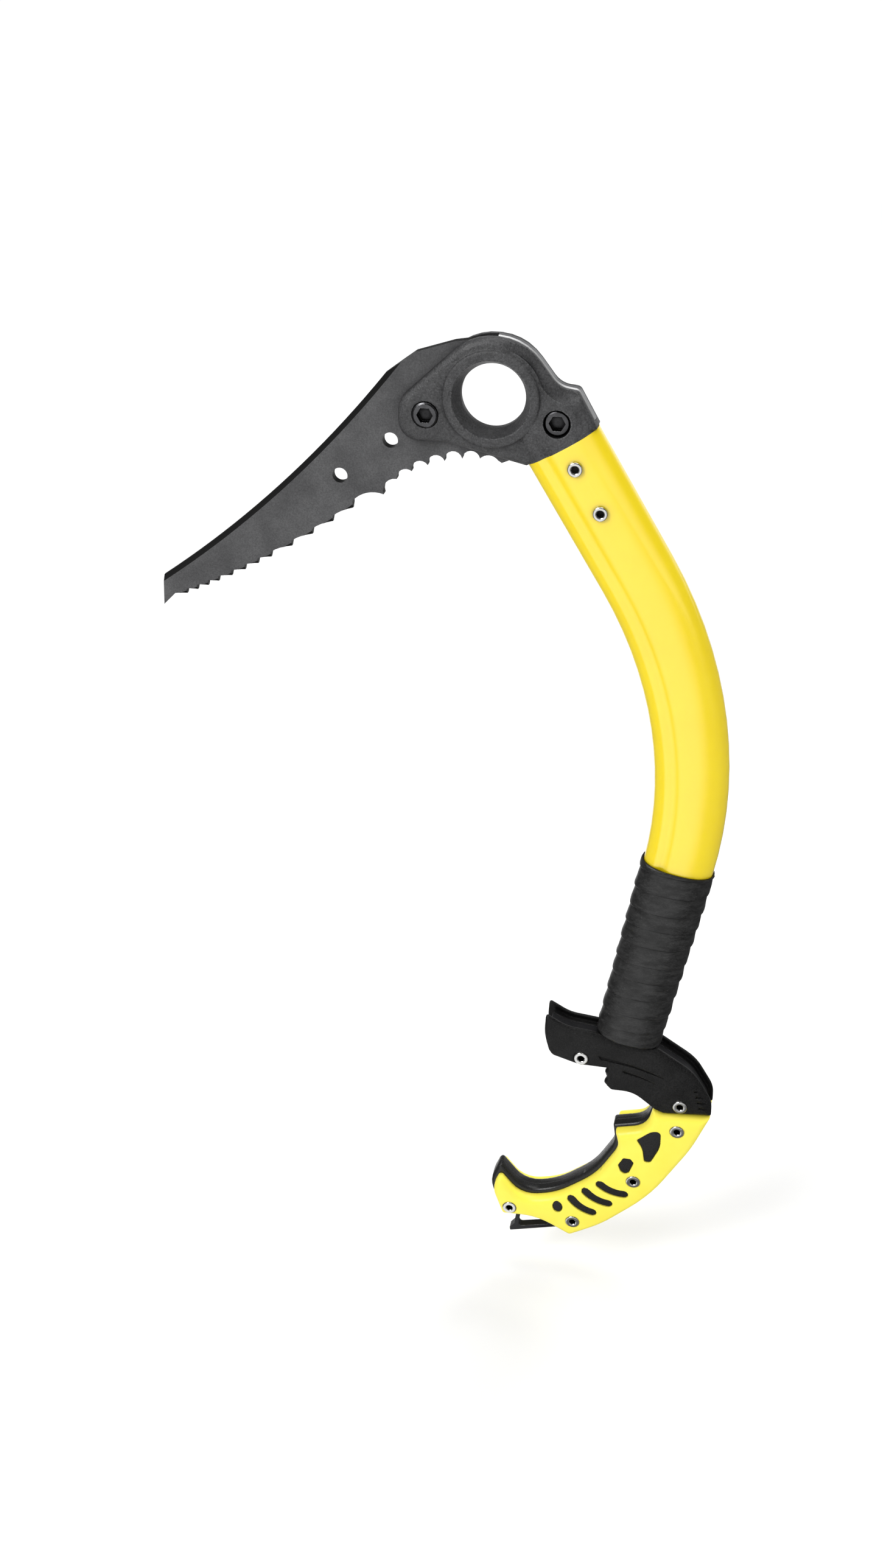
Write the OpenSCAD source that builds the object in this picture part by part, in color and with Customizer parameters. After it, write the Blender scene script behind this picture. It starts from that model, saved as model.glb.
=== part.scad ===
// Ice climbing tool: a forged head with a bolted, saw-edged pick, a bent oval shaft
// with a taped upper grip, and a riveted handle with a trigger rest and a spike.
// Millimetres, +Z up. The origin is the centre of the head hole, the pick points
// to -X, the tool lies in the XZ plane and Y is its thickness.

/* [Head] */
// Diameter of the straight land in the head hole
hole_d = 27.2; // [25:0.2:28]
// Length of that straight land
hole_land = 3.6; // [3:0.2:6]
// Diameter of the flared mouths of the head hole
mouth_d = 32.6; // [31:0.2:35]
// Outer diameter of the ring boss round the hole
boss_d = 40.5; // [39:0.5:43]
// Thickness of the head across the ring boss
boss_t = 16.4; // [15.4:0.2:18]
// Thickness of the head across its cheeks
cheek_t = 13.6; // [12.6:0.2:14.6]
// Radius of the cheeks round the hole
cheek_r = 25.5; // [24:0.5:27]
// Radius of the cheeks round the front bolt
lobe_r = 11.8; // [10.5:0.2:13]
// Slope of the foot round the ring boss, measured outwards
boss_foot = 1.3; // [0.6:0.1:1.4]
// Rounding of the cheek edges
cheek_round = 3; // [2:0.25:4]
// Radius of the cove along the back of the ring
cove_r = 4.6; // [3.6:0.2:5]
// Wall of the ring where it crosses the pick slot
ring_wall = 4.3; // [3.5:0.1:5]
// Length of the head's tang inside the shaft
tang_len = 42; // [40:1:60]
// Metal left between the pick slot and the shaft
slot_root = 3; // [2.4:0.1:3.4]

/* [Bolts] */
// Nominal thread diameter of the two pick bolts
bolt_d = 6; // [5:0.5:7]
// Diameter of the bolt heads
bolt_head_d = 10.8; // [10:0.2:11.4]
// Height of the bolt heads
bolt_head_h = 3.4; // [3:0.1:4]
// Width across flats of the hexagon sockets
socket_af = 6; // [5:0.5:6]
// Depth of the hexagon sockets
socket_depth = 2.4; // [1.5:0.1:2.6]
// Distance of each bolt in front of and behind the hole centre
bolt_reach = 27.5; // [26:0.5:29]
// Distance of the bolts below the hole centre
bolt_drop = 8.2; // [6:0.2:9]

/* [Pick] */
// Thickness of the pick blade
pick_t = 4; // [3:0.1:5]
// Distance of the pick tip in front of the hole centre
pick_reach = 149.2; // [140:0.2:156]
// Distance of the pick tip below the hole centre
pick_drop = 105.5; // [100:0.5:112]
// Height of the front face of the pick
tip_face = 14; // [12:0.5:16]
// Pitch of the fine teeth behind the tip
fine_pitch = 5.6; // [5.2:0.1:6]
// Number of fine tooth gaps
fine_count = 3; // [2:1:3]
// Pitch of the middle teeth
mid_pitch = 7.1; // [6.6:0.1:7.4]
// Number of middle tooth gaps
mid_count = 4; // [3:1:4]
// Pitch of the coarse teeth
coarse_pitch = 11.4; // [10.6:0.1:11.8]
// Number of coarse tooth gaps
coarse_count = 4; // [3:1:4]
// Height of the steep side of each tooth
tooth_h = 2.7; // [1.5:0.1:3.2]
// Radius of the curve that the tooth tips follow
tooth_line_r = 380; // [360:4:440]
// Chord of each round scallop under the head
scallop_pitch = 7.6; // [7:0.1:7.8]
// Number of scallops under the head
scallop_count = 6; // [4:1:6]
// Depth of each scallop under the head
scallop_depth = 3.2; // [2:0.1:3.4]
// Diameter of the two holes in the blade
pick_hole_d = 6.6; // [5:0.2:7]
// Hollow of the long upper edge of the blade
edge_hollow = 4.9; // [3:0.1:7]
// Width of the bevel along the upper edge
bevel_w = 2.2; // [1:0.1:3]
// Width of the bevel at the tooth tips
tooth_bevel_w = 1.5; // [0.8:0.1:2]
// Depth of both bevels into each face of the blade
bevel_depth = 1.3; // [0.6:0.1:1.4]

/* [Shaft] */
// Lean of the upper shaft from upright
lean = 31.4; // [29:0.2:34]
// Lean of the lower shaft the other way
handle_lean = 10.2; // [8:0.2:12]
// Distance of the upper shaft's axis behind the hole centre
shaft_offset = 15.2; // [14:0.2:16.4]
// Distance along the shaft from the hole centre to the top of the tube
neck_len = 31.5; // [30:0.5:34]
// Straight length of the tube above the bend
upper_len = 64; // [56:1:80]
// Radius of the bend on the tube's axis
bend_r = 204; // [180:2:230]
// Straight length of the tube below the bend
lower_len = 101; // [100:1:120]
// Depth of the oval tube at its top
depth_top = 33.8; // [32:0.2:35]
// Depth of the oval tube at its lower end
depth_low = 29.8; // [28:0.2:32]
// Thickness of the oval tube across Y
tube_t = 19; // [18:0.2:20]
// Extra depth of the tube at mid length
depth_swell = 1.6; // [0:0.2:2]
// Wall of the tube
tube_wall = 1.6; // [1.2:0.1:2]
// Depth of the long groove in each flank
groove_d = 1; // [0.3:0.1:1.2]
// Half width of that groove
groove_w = 2.4; // [2:0.1:4]
// Distance of the groove in front of the axis
groove_x = 7.5; // [4:0.5:9]

/* [Tape] */
// Length of shaft that the tape covers
tape_len = 101; // [80:1:101]
// Thickness of the wrap where it is thinnest
tape_t = 0.5; // [0.4:0.1:0.8]
// Height of each overlapping edge
tape_step = 0.7; // [0.3:0.1:0.8]
// Number of turns of tape
tape_turns = 10; // [6:1:12]

/* [Handle] */
// Thickness of the plate through the trigger and the grip
plate_t = 4.2; // [3.6:0.1:4.8]
// Depth of the plate's edge below the trigger rims
channel_d = 2.5; // [2:0.1:3]
// Width of the plate's tongue inside the shaft
tongue_w = 16; // [12:0.5:18]
// Length of the plate's tongue inside the shaft
tongue_len = 34; // [32:1:45]
// Thickness of the trigger across its rims
rim_t = 14; // [13:0.2:15]
// Thickness of the trigger across its flat faces
trigger_t = 17.6; // [16.8:0.2:18.4]
// Width of each trigger rim at the channel
rim_w = 1.8; // [1.4:0.1:2.2]
// Thickness of the black core of the grip
core_t = 9.2; // [8.6:0.2:10]
// How far the core stands proud of the scales at the finger hook
hook_proud = 1.3; // [0.6:0.1:1.8]
// How far the core stands proud of the scales along the fingers and round the pommel
core_proud = 2.4; // [1.6:0.1:2.8]
// Depth of the plate's edge below the outline of the grip
plate_inset = 1.5; // [1:0.1:2]
// Thickness of the whole grip across the yellow scales
grip_t = 20.8; // [19:0.2:22]
// Rounding of the scale edges
scale_round = 3; // [2:0.1:3.4]
// Depth of the core's pads below the face of the scales
pad_drop = 0.5; // [0.2:0.1:1]
// Depth of the two tapered grooves in each trigger cover
cover_groove_d = 0.9; // [0.4:0.1:1.2]
// Width of the three curved windows in each scale
bar_w = 4.8; // [4:0.1:5.2]
// Clear height of the tether eye under the grip
eye_h = 12.6; // [11:0.2:13]
// Width of the bars round the tether eye
eye_bar = 2.6; // [2.2:0.1:3.2]

/* [Rivets] */
// Flange diameter of the hollow rivets in the shaft
shaft_flange_d = 6.4; // [6:0.1:7]
// Flange diameter of the hollow rivets in the trigger and the grip
grip_flange_d = 7.2; // [6.6:0.1:7.6]
// Shank diameter of the hollow rivets
shank_d = 5; // [4.6:0.1:5.2]
// Bore of the hollow rivets
rivet_bore_d = 3.2; // [2.6:0.1:3.6]
// Height of the rolled rivet flanges
flange_h = 1.2; // [0.9:0.1:1.5]
// Diameter of the hidden pins through the lower shaft
pin_d = 4; // [3:0.1:5]

/* [Fits] */
// Gap between pieces that are clamped together
seat_gap = 0.1; // [0.05:0.01:0.2]
// Gap round pieces that slide together
slip_gap = 0.3; // [0.25:0.05:0.4]
// Radial play of the bolts in their threads
thread_play = 0.05; // [0.03:0.01:0.08]

/* [Hidden] */
$fn = 64;
// Straight pieces that make one rounded corner
corner_steps = 5;
// Points round the oval of the shaft
oval_points = 64;
// Squareness of the oval: 2 is an ellipse
oval_power = 2.3;
// Rings along the bend of the shaft
bend_steps = 14;
// Points round the tape
tape_points = 64;
// Reach of cutting tools past a face
past = 1;
// Least radius of a rounded corner
least_r = 0.4;

// Points in the side view are [x, z].
front_bolt_at = [-bolt_reach, -bolt_drop];
rear_bolt_at = [bolt_reach, -bolt_drop];
slot_t = pick_t + 2 * seat_gap;
ring_r = hole_d / 2 + ring_wall;
bolt_seat = cheek_t / 2 - bolt_head_h + 0.9;

across_up = [cos(lean), sin(lean)];
along_up = [sin(lean), -cos(lean)];
across_low = [cos(handle_lean), -sin(handle_lean)];
along_low = [-sin(handle_lean), -cos(handle_lean)];
tube_top = shaft_offset * across_up + neck_len * along_up;
bend_start = tube_top + upper_len * along_up;
bend_centre = bend_start - bend_r * across_up;
bend_end = bend_centre + bend_r * across_low;
tube_end = bend_end + lower_len * along_low;
bend_len = bend_r * (lean + handle_lean) * PI / 180;
tube_len = upper_len + bend_len + lower_len;
plate_y = plate_t / 2;

// Direction at an angle in the side view
function heading(a) = [cos(a), sin(a)];

// Left-hand normal of a vector
function left_of(v) = [-v.y, v.x] / norm(v);

// Points of an arc about a centre from one angle to another
function arc(centre, r, a0, a1, steps) =
  [for (i = [0:steps]) centre + r * heading(a0 + (a1 - a0) * i / steps)];

// Arc from p to q that rises by sag on the left of the way, without p itself
function bow(p, q, sag, steps) =
  let (half = norm(q - p) / 2, r = (half * half + sag * sag) / (2 * sag))
  let (up = left_of(q - p), c = (p + q) / 2 + (sag - r) * up)
  let (a0 = atan2(p.y - c.y, p.x - c.x), swing = 2 * atan2(half, r - sag))
  [for (i = [1:steps]) c + r * heading(a0 - swing * i / steps)];

// Corner of two lines that touch a circle where its normals point to a0 and a1
function touch_corner(centre, r, a0, a1) =
  centre + r / cos((a1 - a0) / 2) * heading((a0 + a1) / 2);

// Rounded outline from corners [x, z, radius] in anticlockwise order, moved inwards by inset.
// A radius is limited by the sides that it joins.
function rounded(corners, inset = 0) =
  let (n = len(corners), p = [for (c = corners) [c.x, c.y]])
  let (inward = [for (i = [0:n - 1]) left_of(p[(i + 1) % n] - p[i])])
  let (moved = [for (i = [0:n - 1])
    let (n0 = inward[(i + n - 1) % n], n1 = inward[i])
    p[i] + inset * (n0 + n1) / (1 + n0 * n1)])
  [for (i = [0:n - 1])
    let (here = moved[i], before = moved[(i + n - 1) % n], after = moved[(i + 1) % n])
    let (d0 = (here - before) / norm(here - before), d1 = (after - here) / norm(after - here))
    let (swing = atan2(d0.x * d1.y - d0.y * d1.x, d0 * d1))
    let (wanted = max(corners[i].z - sign(swing) * inset, least_r))
    let (room = 0.48 * min(norm(here - before), norm(after - here)))
    let (r = min(wanted, room / tan(abs(swing) / 2)), start = here - d0 * r * tan(abs(swing) / 2))
    let (c = start + sign(swing) * r * left_of(d0))
    let (a0 = atan2(start.y - c.y, start.x - c.x))
    each [for (k = [0:corner_steps]) c + r * heading(a0 + swing * k / corner_steps)]];

// Oval section of the shaft with a shallow groove on each flank, as points [across, y]
function oval(half_depth, half_t, points = oval_points) =
  [for (i = [0:points - 1])
    let (c = cos(360 * i / points), s = sin(360 * i / points))
    let (x = half_depth * sign(c) * pow(abs(c), 2 / oval_power))
    let (y = half_t * sign(s) * pow(abs(s), 2 / oval_power))
    [x, y - sign(s) * groove_d * exp(-pow((x + groove_x) / groove_w, 2))]];

// Half depth of the tube at a distance from its top
function half_depth(s) =
  (depth_top + (depth_low - depth_top) * s / tube_len + depth_swell * sin(180 * s / tube_len)) / 2;

// Stations along the tube: [point on the axis, angle of the across direction, distance]
stations = concat(
  [[tube_top, lean, 0]],
  [for (i = [0:bend_steps])
    let (a = lean - (lean + handle_lean) * i / bend_steps)
    [bend_centre + bend_r * heading(a), a, upper_len + bend_len * i / bend_steps]],
  [[tube_end, -handle_lean, tube_len]]
);

// Ring of the tube's surface at a station, grown outwards
function tube_ring(st, grow) =
  [for (p = oval(half_depth(st[2]) + grow, tube_t / 2 + grow))
    let (at = st[0] + p.x * heading(st[1]))
    [at.x, p.y, at.y]];

// Triangles of a four-sided patch
function patch(a, b, c, d) = [[a, b, c], [a, c, d]];

// Extrudes a side-view shape from y0 to y1
module slab(y0, y1) {
  translate([0, y1, 0])
    rotate([90, 0, 0])
      linear_extrude(y1 - y0)
        children();
}

// Round bar along Y at a point of the side view
module bar(at, d, y0, y1) {
  translate([at.x, y1, at.y])
    rotate([90, 0, 0])
      cylinder(d = d, h = y1 - y0);
}

// Bar along Y that changes from diameter d0 at y0 to d1 at y1
module flare(at, d0, d1, y0, y1) {
  translate([at.x, y0, at.y])
    rotate([-90, 0, 0])
      cylinder(d1 = d0, d2 = d1, h = y1 - y0);
}

// Outline between two outlines with equal counts of points, or past the second
function between(a, b, share) = [for (i = [0:len(a) - 1]) a[i] + share * (b[i] - a[i])];

// Closed ring of material through levels [y, outline] with equal counts of points
module ring_cut(levels) {
  n = len(levels[0][1]);
  m = len(levels);
  points = [for (l = levels) each [for (p = l[1]) [p.x, l[0], p.y]]];
  faces = [for (k = [0:m - 1], i = [0:n - 1])
    let (j = (i + 1) % n, next = (k + 1) % m)
    each patch(k * n + i, k * n + j, next * n + j, next * n + i)];
  polyhedron(points, faces, convexity = 8);
}

// Ring that rounds the edge of a slab at height y: its profile is a list of [inset, depth]
// from the face down to the wall
module rim_cut(corners, y, profile) {
  last = len(profile) - 1;
  top_run = (profile[0] - profile[1]) / (profile[1].y - profile[0].y);
  low_run = (profile[last] - profile[last - 1]) / (profile[last - 1].x - profile[last].x);
  top = profile[0] + 0.3 * top_run;
  low = profile[last] + past * low_run;
  inner = concat([top], [for (k = [1:last - 1]) profile[k]]);
  ring_cut(concat(
    [[y - low.y, rounded(corners, low.x)]],
    [[y + past, rounded(corners, low.x)]],
    [for (p = inner) [y - p.y, rounded(corners, p.x)]]
  ));
}

// Ring that trims a slab of the given half thickness to an outline and rounds both its edges
module edge_cut(corners, half, profile) {
  last = len(profile) - 1;
  top_run = (profile[0] - profile[1]) / (profile[1].y - profile[0].y);
  inner = concat([profile[0] + 0.3 * top_run], [for (k = [1:last]) profile[k]]);
  outer = rounded(corners, -past);
  ring_cut(concat(
    [[-half - past, outer], [half + past, outer]],
    [for (p = inner) [half - p.y, rounded(corners, p.x)]],
    [for (k = [last:-1:0]) [inner[k].y - half, rounded(corners, inner[k].x)]]
  ));
}

// Round bar swept through points of the side view at the given heights
module swept_bar(path, heights, r) {
  sides = 12;
  n = len(path) - 1;
  ring = function (k)
    let (out = left_of(path[min(k + 1, n)] - path[max(k - 1, 0)]))
    [for (i = [0:sides - 1])
      let (turn = r * heading(360 * i / sides), at = path[k] + turn.x * out)
      [at.x, heights[k] + turn.y, at.y]];
  first = [for (i = [sides - 1:-1:0]) i];
  last = [for (i = [0:sides - 1]) n * sides + i];
  walls = [for (k = [0:n - 1], i = [0:sides - 1])
    let (j = (i + 1) % sides, a = k * sides)
    each patch(a + i, a + j, a + sides + j, a + sides + i)];
  polyhedron([for (k = [0:n]) each ring(k)], concat(walls, [first, last]), convexity = 4);
}

// Places pieces in the frame of the tube's top, z up along the shaft
module at_neck() {
  translate([tube_top.x, 0, tube_top.y])
    rotate([0, -lean, 0])
      children();
}

// Places pieces in the frame of the tube's lower end, z up along the shaft
module at_handle() {
  translate([tube_end.x, 0, tube_end.y])
    rotate([0, handle_lean, 0])
      children();
}

// Head outline, anticlockwise from the front of the front lobe
cheek_centre = [0.7, -0.6];
to_bolt = front_bolt_at - cheek_centre;
lobe_turn = acos((cheek_r - lobe_r) / norm(to_bolt));
upper_normal = 180 + atan2(-to_bolt.y, -to_bolt.x) - lobe_turn;
back_normal = 41;
spine_corner = tube_top + (depth_top / 2 + 0.4) * across_up - 17 * along_up;
head_corners = [
  [each touch_corner(front_bolt_at, lobe_r, upper_normal, 180), lobe_r],
  [each touch_corner(front_bolt_at, lobe_r, 180, 270), lobe_r],
  [front_bolt_at.x + 8.5, front_bolt_at.y - lobe_r, 20],
  [each tube_top - depth_top / 2 * across_up, 0.6],
  [each tube_top + depth_top / 2 * across_up, 0.6],
  [each spine_corner, 2.5],
  [each spine_corner + [-8.2, 1.2], 13],
  [each touch_corner(cheek_centre, cheek_r, back_normal, 86), cheek_r],
  [each touch_corner(cheek_centre, cheek_r, 86, upper_normal), cheek_r]
];

// Side-view half plane above a line square to the upper shaft, measured from the tube's top
module above_neck(height) {
  far = 100;
  corner = tube_top - height * along_up;
  polygon([
    corner - far * across_up,
    corner + far * across_up,
    corner + far * across_up - far * along_up,
    corner - far * across_up - far * along_up
  ]);
}

// Points of the head outline round one corner
function head_stretch(corner, inset) =
  let (outline = rounded(head_corners, inset), n = corner_steps + 1)
  [for (k = [corner * n:corner * n + corner_steps]) outline[k]];

// Cove along the back of the ring, from past the spine to the top, shallow at both ends
module cove() {
  inset = 0.6;
  run_out = [spine_corner + [7, -6], spine_corner + [1.5, -2]];
  path = concat(run_out, head_stretch(6, inset), head_stretch(7, inset));
  n = len(path) - 1;
  fade = function (k) k < 2 ? [0.62, 0.3][k] : 0.7 * pow(max(0, k / n - 0.66) / 0.34, 2);
  swept_bar(path, [for (k = [0:n]) cheek_t / 2 + (0.35 + fade(k)) * cove_r], cove_r);
}

// Cheeks of the head with rounded edges, before the slot is cut
module cheeks() {
  half = cheek_t / 2;
  r = cheek_round;
  difference() {
    slab(-half, half)
      polygon(rounded(head_corners, -past / 2));
    edge_cut(head_corners, half, [[r, 0], [0.5 * r, 0.16 * r], [0.12 * r, 0.52 * r], [0, 0.8 * r]]);
  }
}

// Collar that swells from the cheeks to the oval of the tube
module collar() {
  reach = 26;
  swell = atan((tube_t - cheek_t) / 2 / (reach - 4));
  intersection() {
    at_neck()
      difference() {
        linear_extrude(reach)
          polygon(oval(depth_top / 2, tube_t / 2));
        for (side = [0, 1])
          mirror([0, side, 0])
            translate([-50, tube_t / 2, 2])
              rotate([swell, 0, 0])
                cube([100, 20, 60]);
      }
    slab(-tube_t, tube_t)
      polygon(rounded(head_corners));
  }
}

// Tang of the head inside the tube, cored from below
module head_tang() {
  half_d = min(half_depth(0), half_depth(tang_len)) - tube_wall - slip_gap;
  half_t = tube_t / 2 - tube_wall - slip_gap;
  web = 3.4;
  at_neck()
    difference() {
      translate([0, 0, -tang_len])
        linear_extrude(tang_len + past)
          polygon(oval(half_d, half_t));
      translate([0, 0, -tang_len - past])
        linear_extrude(tang_len - 4 + past)
          polygon(oval(half_d - web, half_t - web));
    }
}

shaft_rivets = [[1.7, -9.5], [1.7, -31]];

// Bar across Y at a point of the neck's frame
module neck_bar(at, d) {
  at_neck()
    bar(at, d, -tube_t, tube_t);
}

// Ring boss on the +Y side with a sloped foot and a rounded edge
module boss() {
  edge = 1;
  r = boss_d / 2;
  top = boss_t / 2;
  rotate([-90, 0, 0])
    rotate_extrude()
      polygon(concat(
        [[0, 0], [r + boss_foot, 0], [r + boss_foot, cheek_t / 2 - 0.4]],
        arc([r - edge, top - edge], edge, 0, 90, 4),
        [[0, top]]
      ));
}

module head() {
  half_boss = boss_t / 2;
  color("#424242")
    difference() {
      union() {
        difference() {
          union() {
            cheeks();
            collar();
          }
          for (side = [0, 1])
            mirror([0, side, 0])
              cove();
        }
        head_tang();
        for (side = [0, 1])
          mirror([0, side, 0])
            boss();
      }
      slab(-slot_t / 2, slot_t / 2)
        difference() {
          above_neck(slot_root);
          circle(ring_r);
        }
      bar([0, 0], hole_d, -boss_t, boss_t);
      for (side = [0, 1])
        mirror([0, side, 0])
          flare([0, 0], hole_d, mouth_d, hole_land / 2, half_boss + 0.01);
      for (at = [front_bolt_at, rear_bolt_at]) {
        bar(at, bolt_d + 2 * thread_play, 0, tube_t);
        bar(at, bolt_d + 2 * slip_gap, -tube_t, 0);
        bar(at, bolt_head_d + 2 * slip_gap, -tube_t, -bolt_seat);
      }
      for (at = shaft_rivets)
        neck_bar(at, shank_d + 2 * seat_gap);
    }
}

// Tooth tips of the pick, from the first tooth behind the point to the head
pick_point = [-pick_reach, -pick_drop];
first_notch = pick_point + [5.6, 5.8];
first_tooth = pick_point + [11, 5.8];
tooth_start_slope = 24;
gaps = concat(
  [for (i = [1:fine_count]) fine_pitch],
  [for (i = [1:mid_count]) mid_pitch],
  [for (i = [1:coarse_count]) coarse_pitch]
);

// Sum of the first n tooth gaps
function gap_sum(n) = n <= 0 ? 0 : gaps[n - 1] + gap_sum(n - 1);

// Centre of the arc that the tooth tips follow
tooth_line_centre = first_tooth + tooth_line_r * heading(tooth_start_slope + 90);

// Point of the tooth line at a distance from the first tooth
function tooth_at(s) =
  tooth_line_centre + tooth_line_r * heading(tooth_start_slope - 90 + s / tooth_line_r * 180 / PI);

teeth = [for (i = [0:len(gaps)]) tooth_at(gap_sum(i))];
last_tooth = teeth[len(teeth) - 1];

// Gap from one tooth to the next: a steep side, then a hollow back
function tooth_gap(from, to, sag) =
  let (root = from + [0.15, tooth_h])
  concat([root], bow(root, to, sag, 4));

// Scallop cusps under the head, turning level along a shallow curve
scallop_start = [-40.8, -38.5];
scallop_slope = 31;
scallop_turn = 6.6;
function scallop_at(n) =
  n == 0 ? scallop_start
         : scallop_at(n - 1) + scallop_pitch * heading(scallop_slope - scallop_turn * (n - 1));

big_root = last_tooth + [0.1, tooth_h + 0.8];
big_cusp = [-46.6, -45.8];
// Depth of each scallop beyond the common depth
scallop_extra = [-0.7, 0, 0.3, 0.6, 0.2, -1.4];
heel_cusp = scallop_at(scallop_count) + [1.6, -1];
pick_edge = concat(
  [pick_point, first_notch],
  bow(first_notch, teeth[0], 0.3, 3),
  [for (i = [0:len(gaps) - 1]) each tooth_gap(teeth[i], teeth[i + 1], 0.07 * gaps[i])],
  [big_root],
  bow(big_root, big_cusp, 2.2, 8),
  bow(big_cusp, scallop_start, 2.6, 6),
  [for (i = [0:scallop_count - 1])
    each bow(scallop_at(i), scallop_at(i + 1), scallop_depth + scallop_extra[i], 8)],
  [heel_cusp]
);

// Upper side of the pick, from its rear end over the ring to the tip
nose_top = pick_point + [0.7, tip_face];
brow = [-45.1, 6.9];
pick_crown = [[-16.2, 21.6], [-32.3, 16.4], brow];
pick_notch_r = ring_r + slip_gap;
pick_rear_x = cheek_centre.x + (cheek_r - 0.2) * cos(88);
pick_heel_angle = -52;
pick_back = concat(
  [[heel_cusp.x + 5, heel_cusp.y + 2.2], [12, -25.2]],
  arc([0, 0], pick_notch_r, pick_heel_angle, -360 + acos(pick_rear_x / pick_notch_r), 28),
  arc(cheek_centre, cheek_r - 0.2, 88, 112, 4),
  pick_crown
);
upper_edge_half = norm(nose_top - brow) / 2;
upper_edge_r = (pow(upper_edge_half, 2) + pow(edge_hollow, 2)) / (2 * edge_hollow);
upper_edge_centre = (nose_top + brow) / 2
  + (upper_edge_r - edge_hollow) * left_of(nose_top - brow) * -1;
pick_holes = [[-43.4, -21.6], [-65.6, -38.6]];

// Ring of a wedge that bevels both sides of the blade along an arc: the blade lies outside
// the arc when side is 1 and inside it when side is -1
module arc_bevel(centre, r, side, width, depth) {
  half = pick_t / 2;
  rise = depth / width;
  translate([centre.x, 0, centre.y])
    rotate([90, 0, 0])
      for (face = [0, 1])
        mirror([0, 0, face])
          rotate_extrude($fn = 360)
            polygon([
              [r - side * past, half + past * rise],
              [r - side * past, half - depth - past * rise],
              [r + side * (width + past), half + past * rise]
            ]);
}

module pick() {
  half = pick_t / 2;
  color("#5a5a5a")
    difference() {
      slab(-half, half)
        polygon(concat(pick_edge, pick_back, bow(brow, nose_top, edge_hollow, 20)));
      for (at = pick_holes)
        bar(at, pick_hole_d, -pick_t, pick_t);
      bar(front_bolt_at, bolt_d + 2 * slip_gap, -pick_t, pick_t);
      arc_bevel(upper_edge_centre, upper_edge_r, 1, bevel_w, bevel_depth);
      intersection() {
        arc_bevel(tooth_line_centre, tooth_line_r, -1, tooth_bevel_w, bevel_depth);
        slab(-pick_t, pick_t)
          translate([teeth[0].x - fine_pitch / 2, -2 * pick_drop])
            square([last_tooth.x - teeth[0].x + fine_pitch, 2 * pick_drop]);
      }
    }
}

// Side view of the spacer behind the pick, grown past the head's outline
module spacer_shape(grow) {
  difference() {
    intersection() {
      polygon(rounded(head_corners, -grow));
      above_neck(slot_root + slip_gap);
      polygon([
        [pick_rear_x + slip_gap, 60],
        [pick_rear_x + slip_gap, 0],
        [12 + slip_gap, -13],
        [12.6 + slip_gap, -60],
        [90, -60],
        [90, 60]
      ]);
    }
    circle(ring_r + slip_gap);
    translate(rear_bolt_at)
      circle(d = bolt_d + 2 * slip_gap);
  }
}

module rear_spacer() {
  proud = 0.4;
  broken = 0.7;
  half = pick_t / 2;
  color("#8a8a8a")
    difference() {
      slab(-half, half)
        spacer_shape(proud + past / 4);
      edge_cut(head_corners, half, [[broken - proud, 0], [-proud, broken]]);
    }
}

// Low cap screw along Y with a hexagon socket in its near face
module cap_screw(at) {
  head_y = -bolt_seat + seat_gap;
  color("#3a3b3d")
    difference() {
      union() {
        bar(at, bolt_d, head_y - 0.5, cheek_t / 2 - 0.6);
        bar(at, bolt_head_d, head_y - bolt_head_h + 0.5, head_y - 2 * seat_gap);
        flare(at, bolt_head_d - 1.4, bolt_head_d, head_y - bolt_head_h, head_y - bolt_head_h + 0.5);
      }
      translate([at.x, head_y - bolt_head_h + socket_depth, at.y])
        rotate([90, 0, 0])
          cylinder(d = socket_af / cos(30), h = socket_depth + past, $fn = 6);
    }
}

module front_bolt() {
  cap_screw(front_bolt_at);
}

module rear_bolt() {
  cap_screw(rear_bolt_at);
}

module shaft_tube() {
  n = oval_points;
  last = len(stations) - 1;
  inner = (last + 1) * n;
  points = concat(
    [for (st = stations) each tube_ring(st, 0)],
    [for (st = stations) each tube_ring(st, -tube_wall)]
  );
  walls = [for (k = [0:last - 1], i = [0:n - 1])
    let (j = (i + 1) % n, a = k * n + i, b = k * n + j)
    each concat(patch(a, b, b + n, a + n), patch(inner + a + n, inner + b + n, inner + b, inner + a))];
  ends = [for (i = [0:n - 1])
    let (j = (i + 1) % n, base = last * n)
    each concat(patch(i, inner + i, inner + j, j), patch(base + j, inner + base + j, inner + base + i, base + i))];
  color("#ffe600")
    difference() {
      polyhedron(points, concat(walls, ends), convexity = 10);
      for (at = shaft_rivets)
        neck_bar(at, shank_d + 2 * seat_gap);
      for (at = tang_pins)
        at_handle()
          bar(at, pin_d + 2 * seat_gap, -tube_t, tube_t);
    }
}

// Hollow rivet along Y with a rolled flange on each side
module hollow_rivet(at, flange_d, seat_y) {
  roll = flange_h / 2;
  bore_r = rivet_bore_d / 2;
  outer_r = flange_d / 2;
  translate([at.x, 0, at.y])
    rotate([90, 0, 0])
      difference() {
        union() {
          cylinder(d = shank_d, h = 2 * seat_y + flange_h, center = true);
          for (side = [0, 1])
            mirror([0, 0, side])
              translate([0, 0, seat_y])
                rotate_extrude()
                  polygon(concat(
                    [[bore_r - 0.5, 0]],
                    [[outer_r - 0.3 * flange_h, 0]],
                    [[outer_r, 0.35 * flange_h]],
                    arc([outer_r - roll, roll], roll, 0, 90, 6),
                    arc([bore_r + roll, roll], roll, 90, 150, 5),
                    [[bore_r - 0.5, roll]]
                  ));
        }
        cylinder(r = bore_r, h = 4 * seat_y, center = true);
      }
}

module shaft_rivet(at) {
  color("#d8d8d8")
    at_neck()
      hollow_rivet(at, shaft_flange_d, tube_t / 2 + seat_gap);
}

module shaft_rivet_upper() {
  shaft_rivet(shaft_rivets[0]);
}

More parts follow.
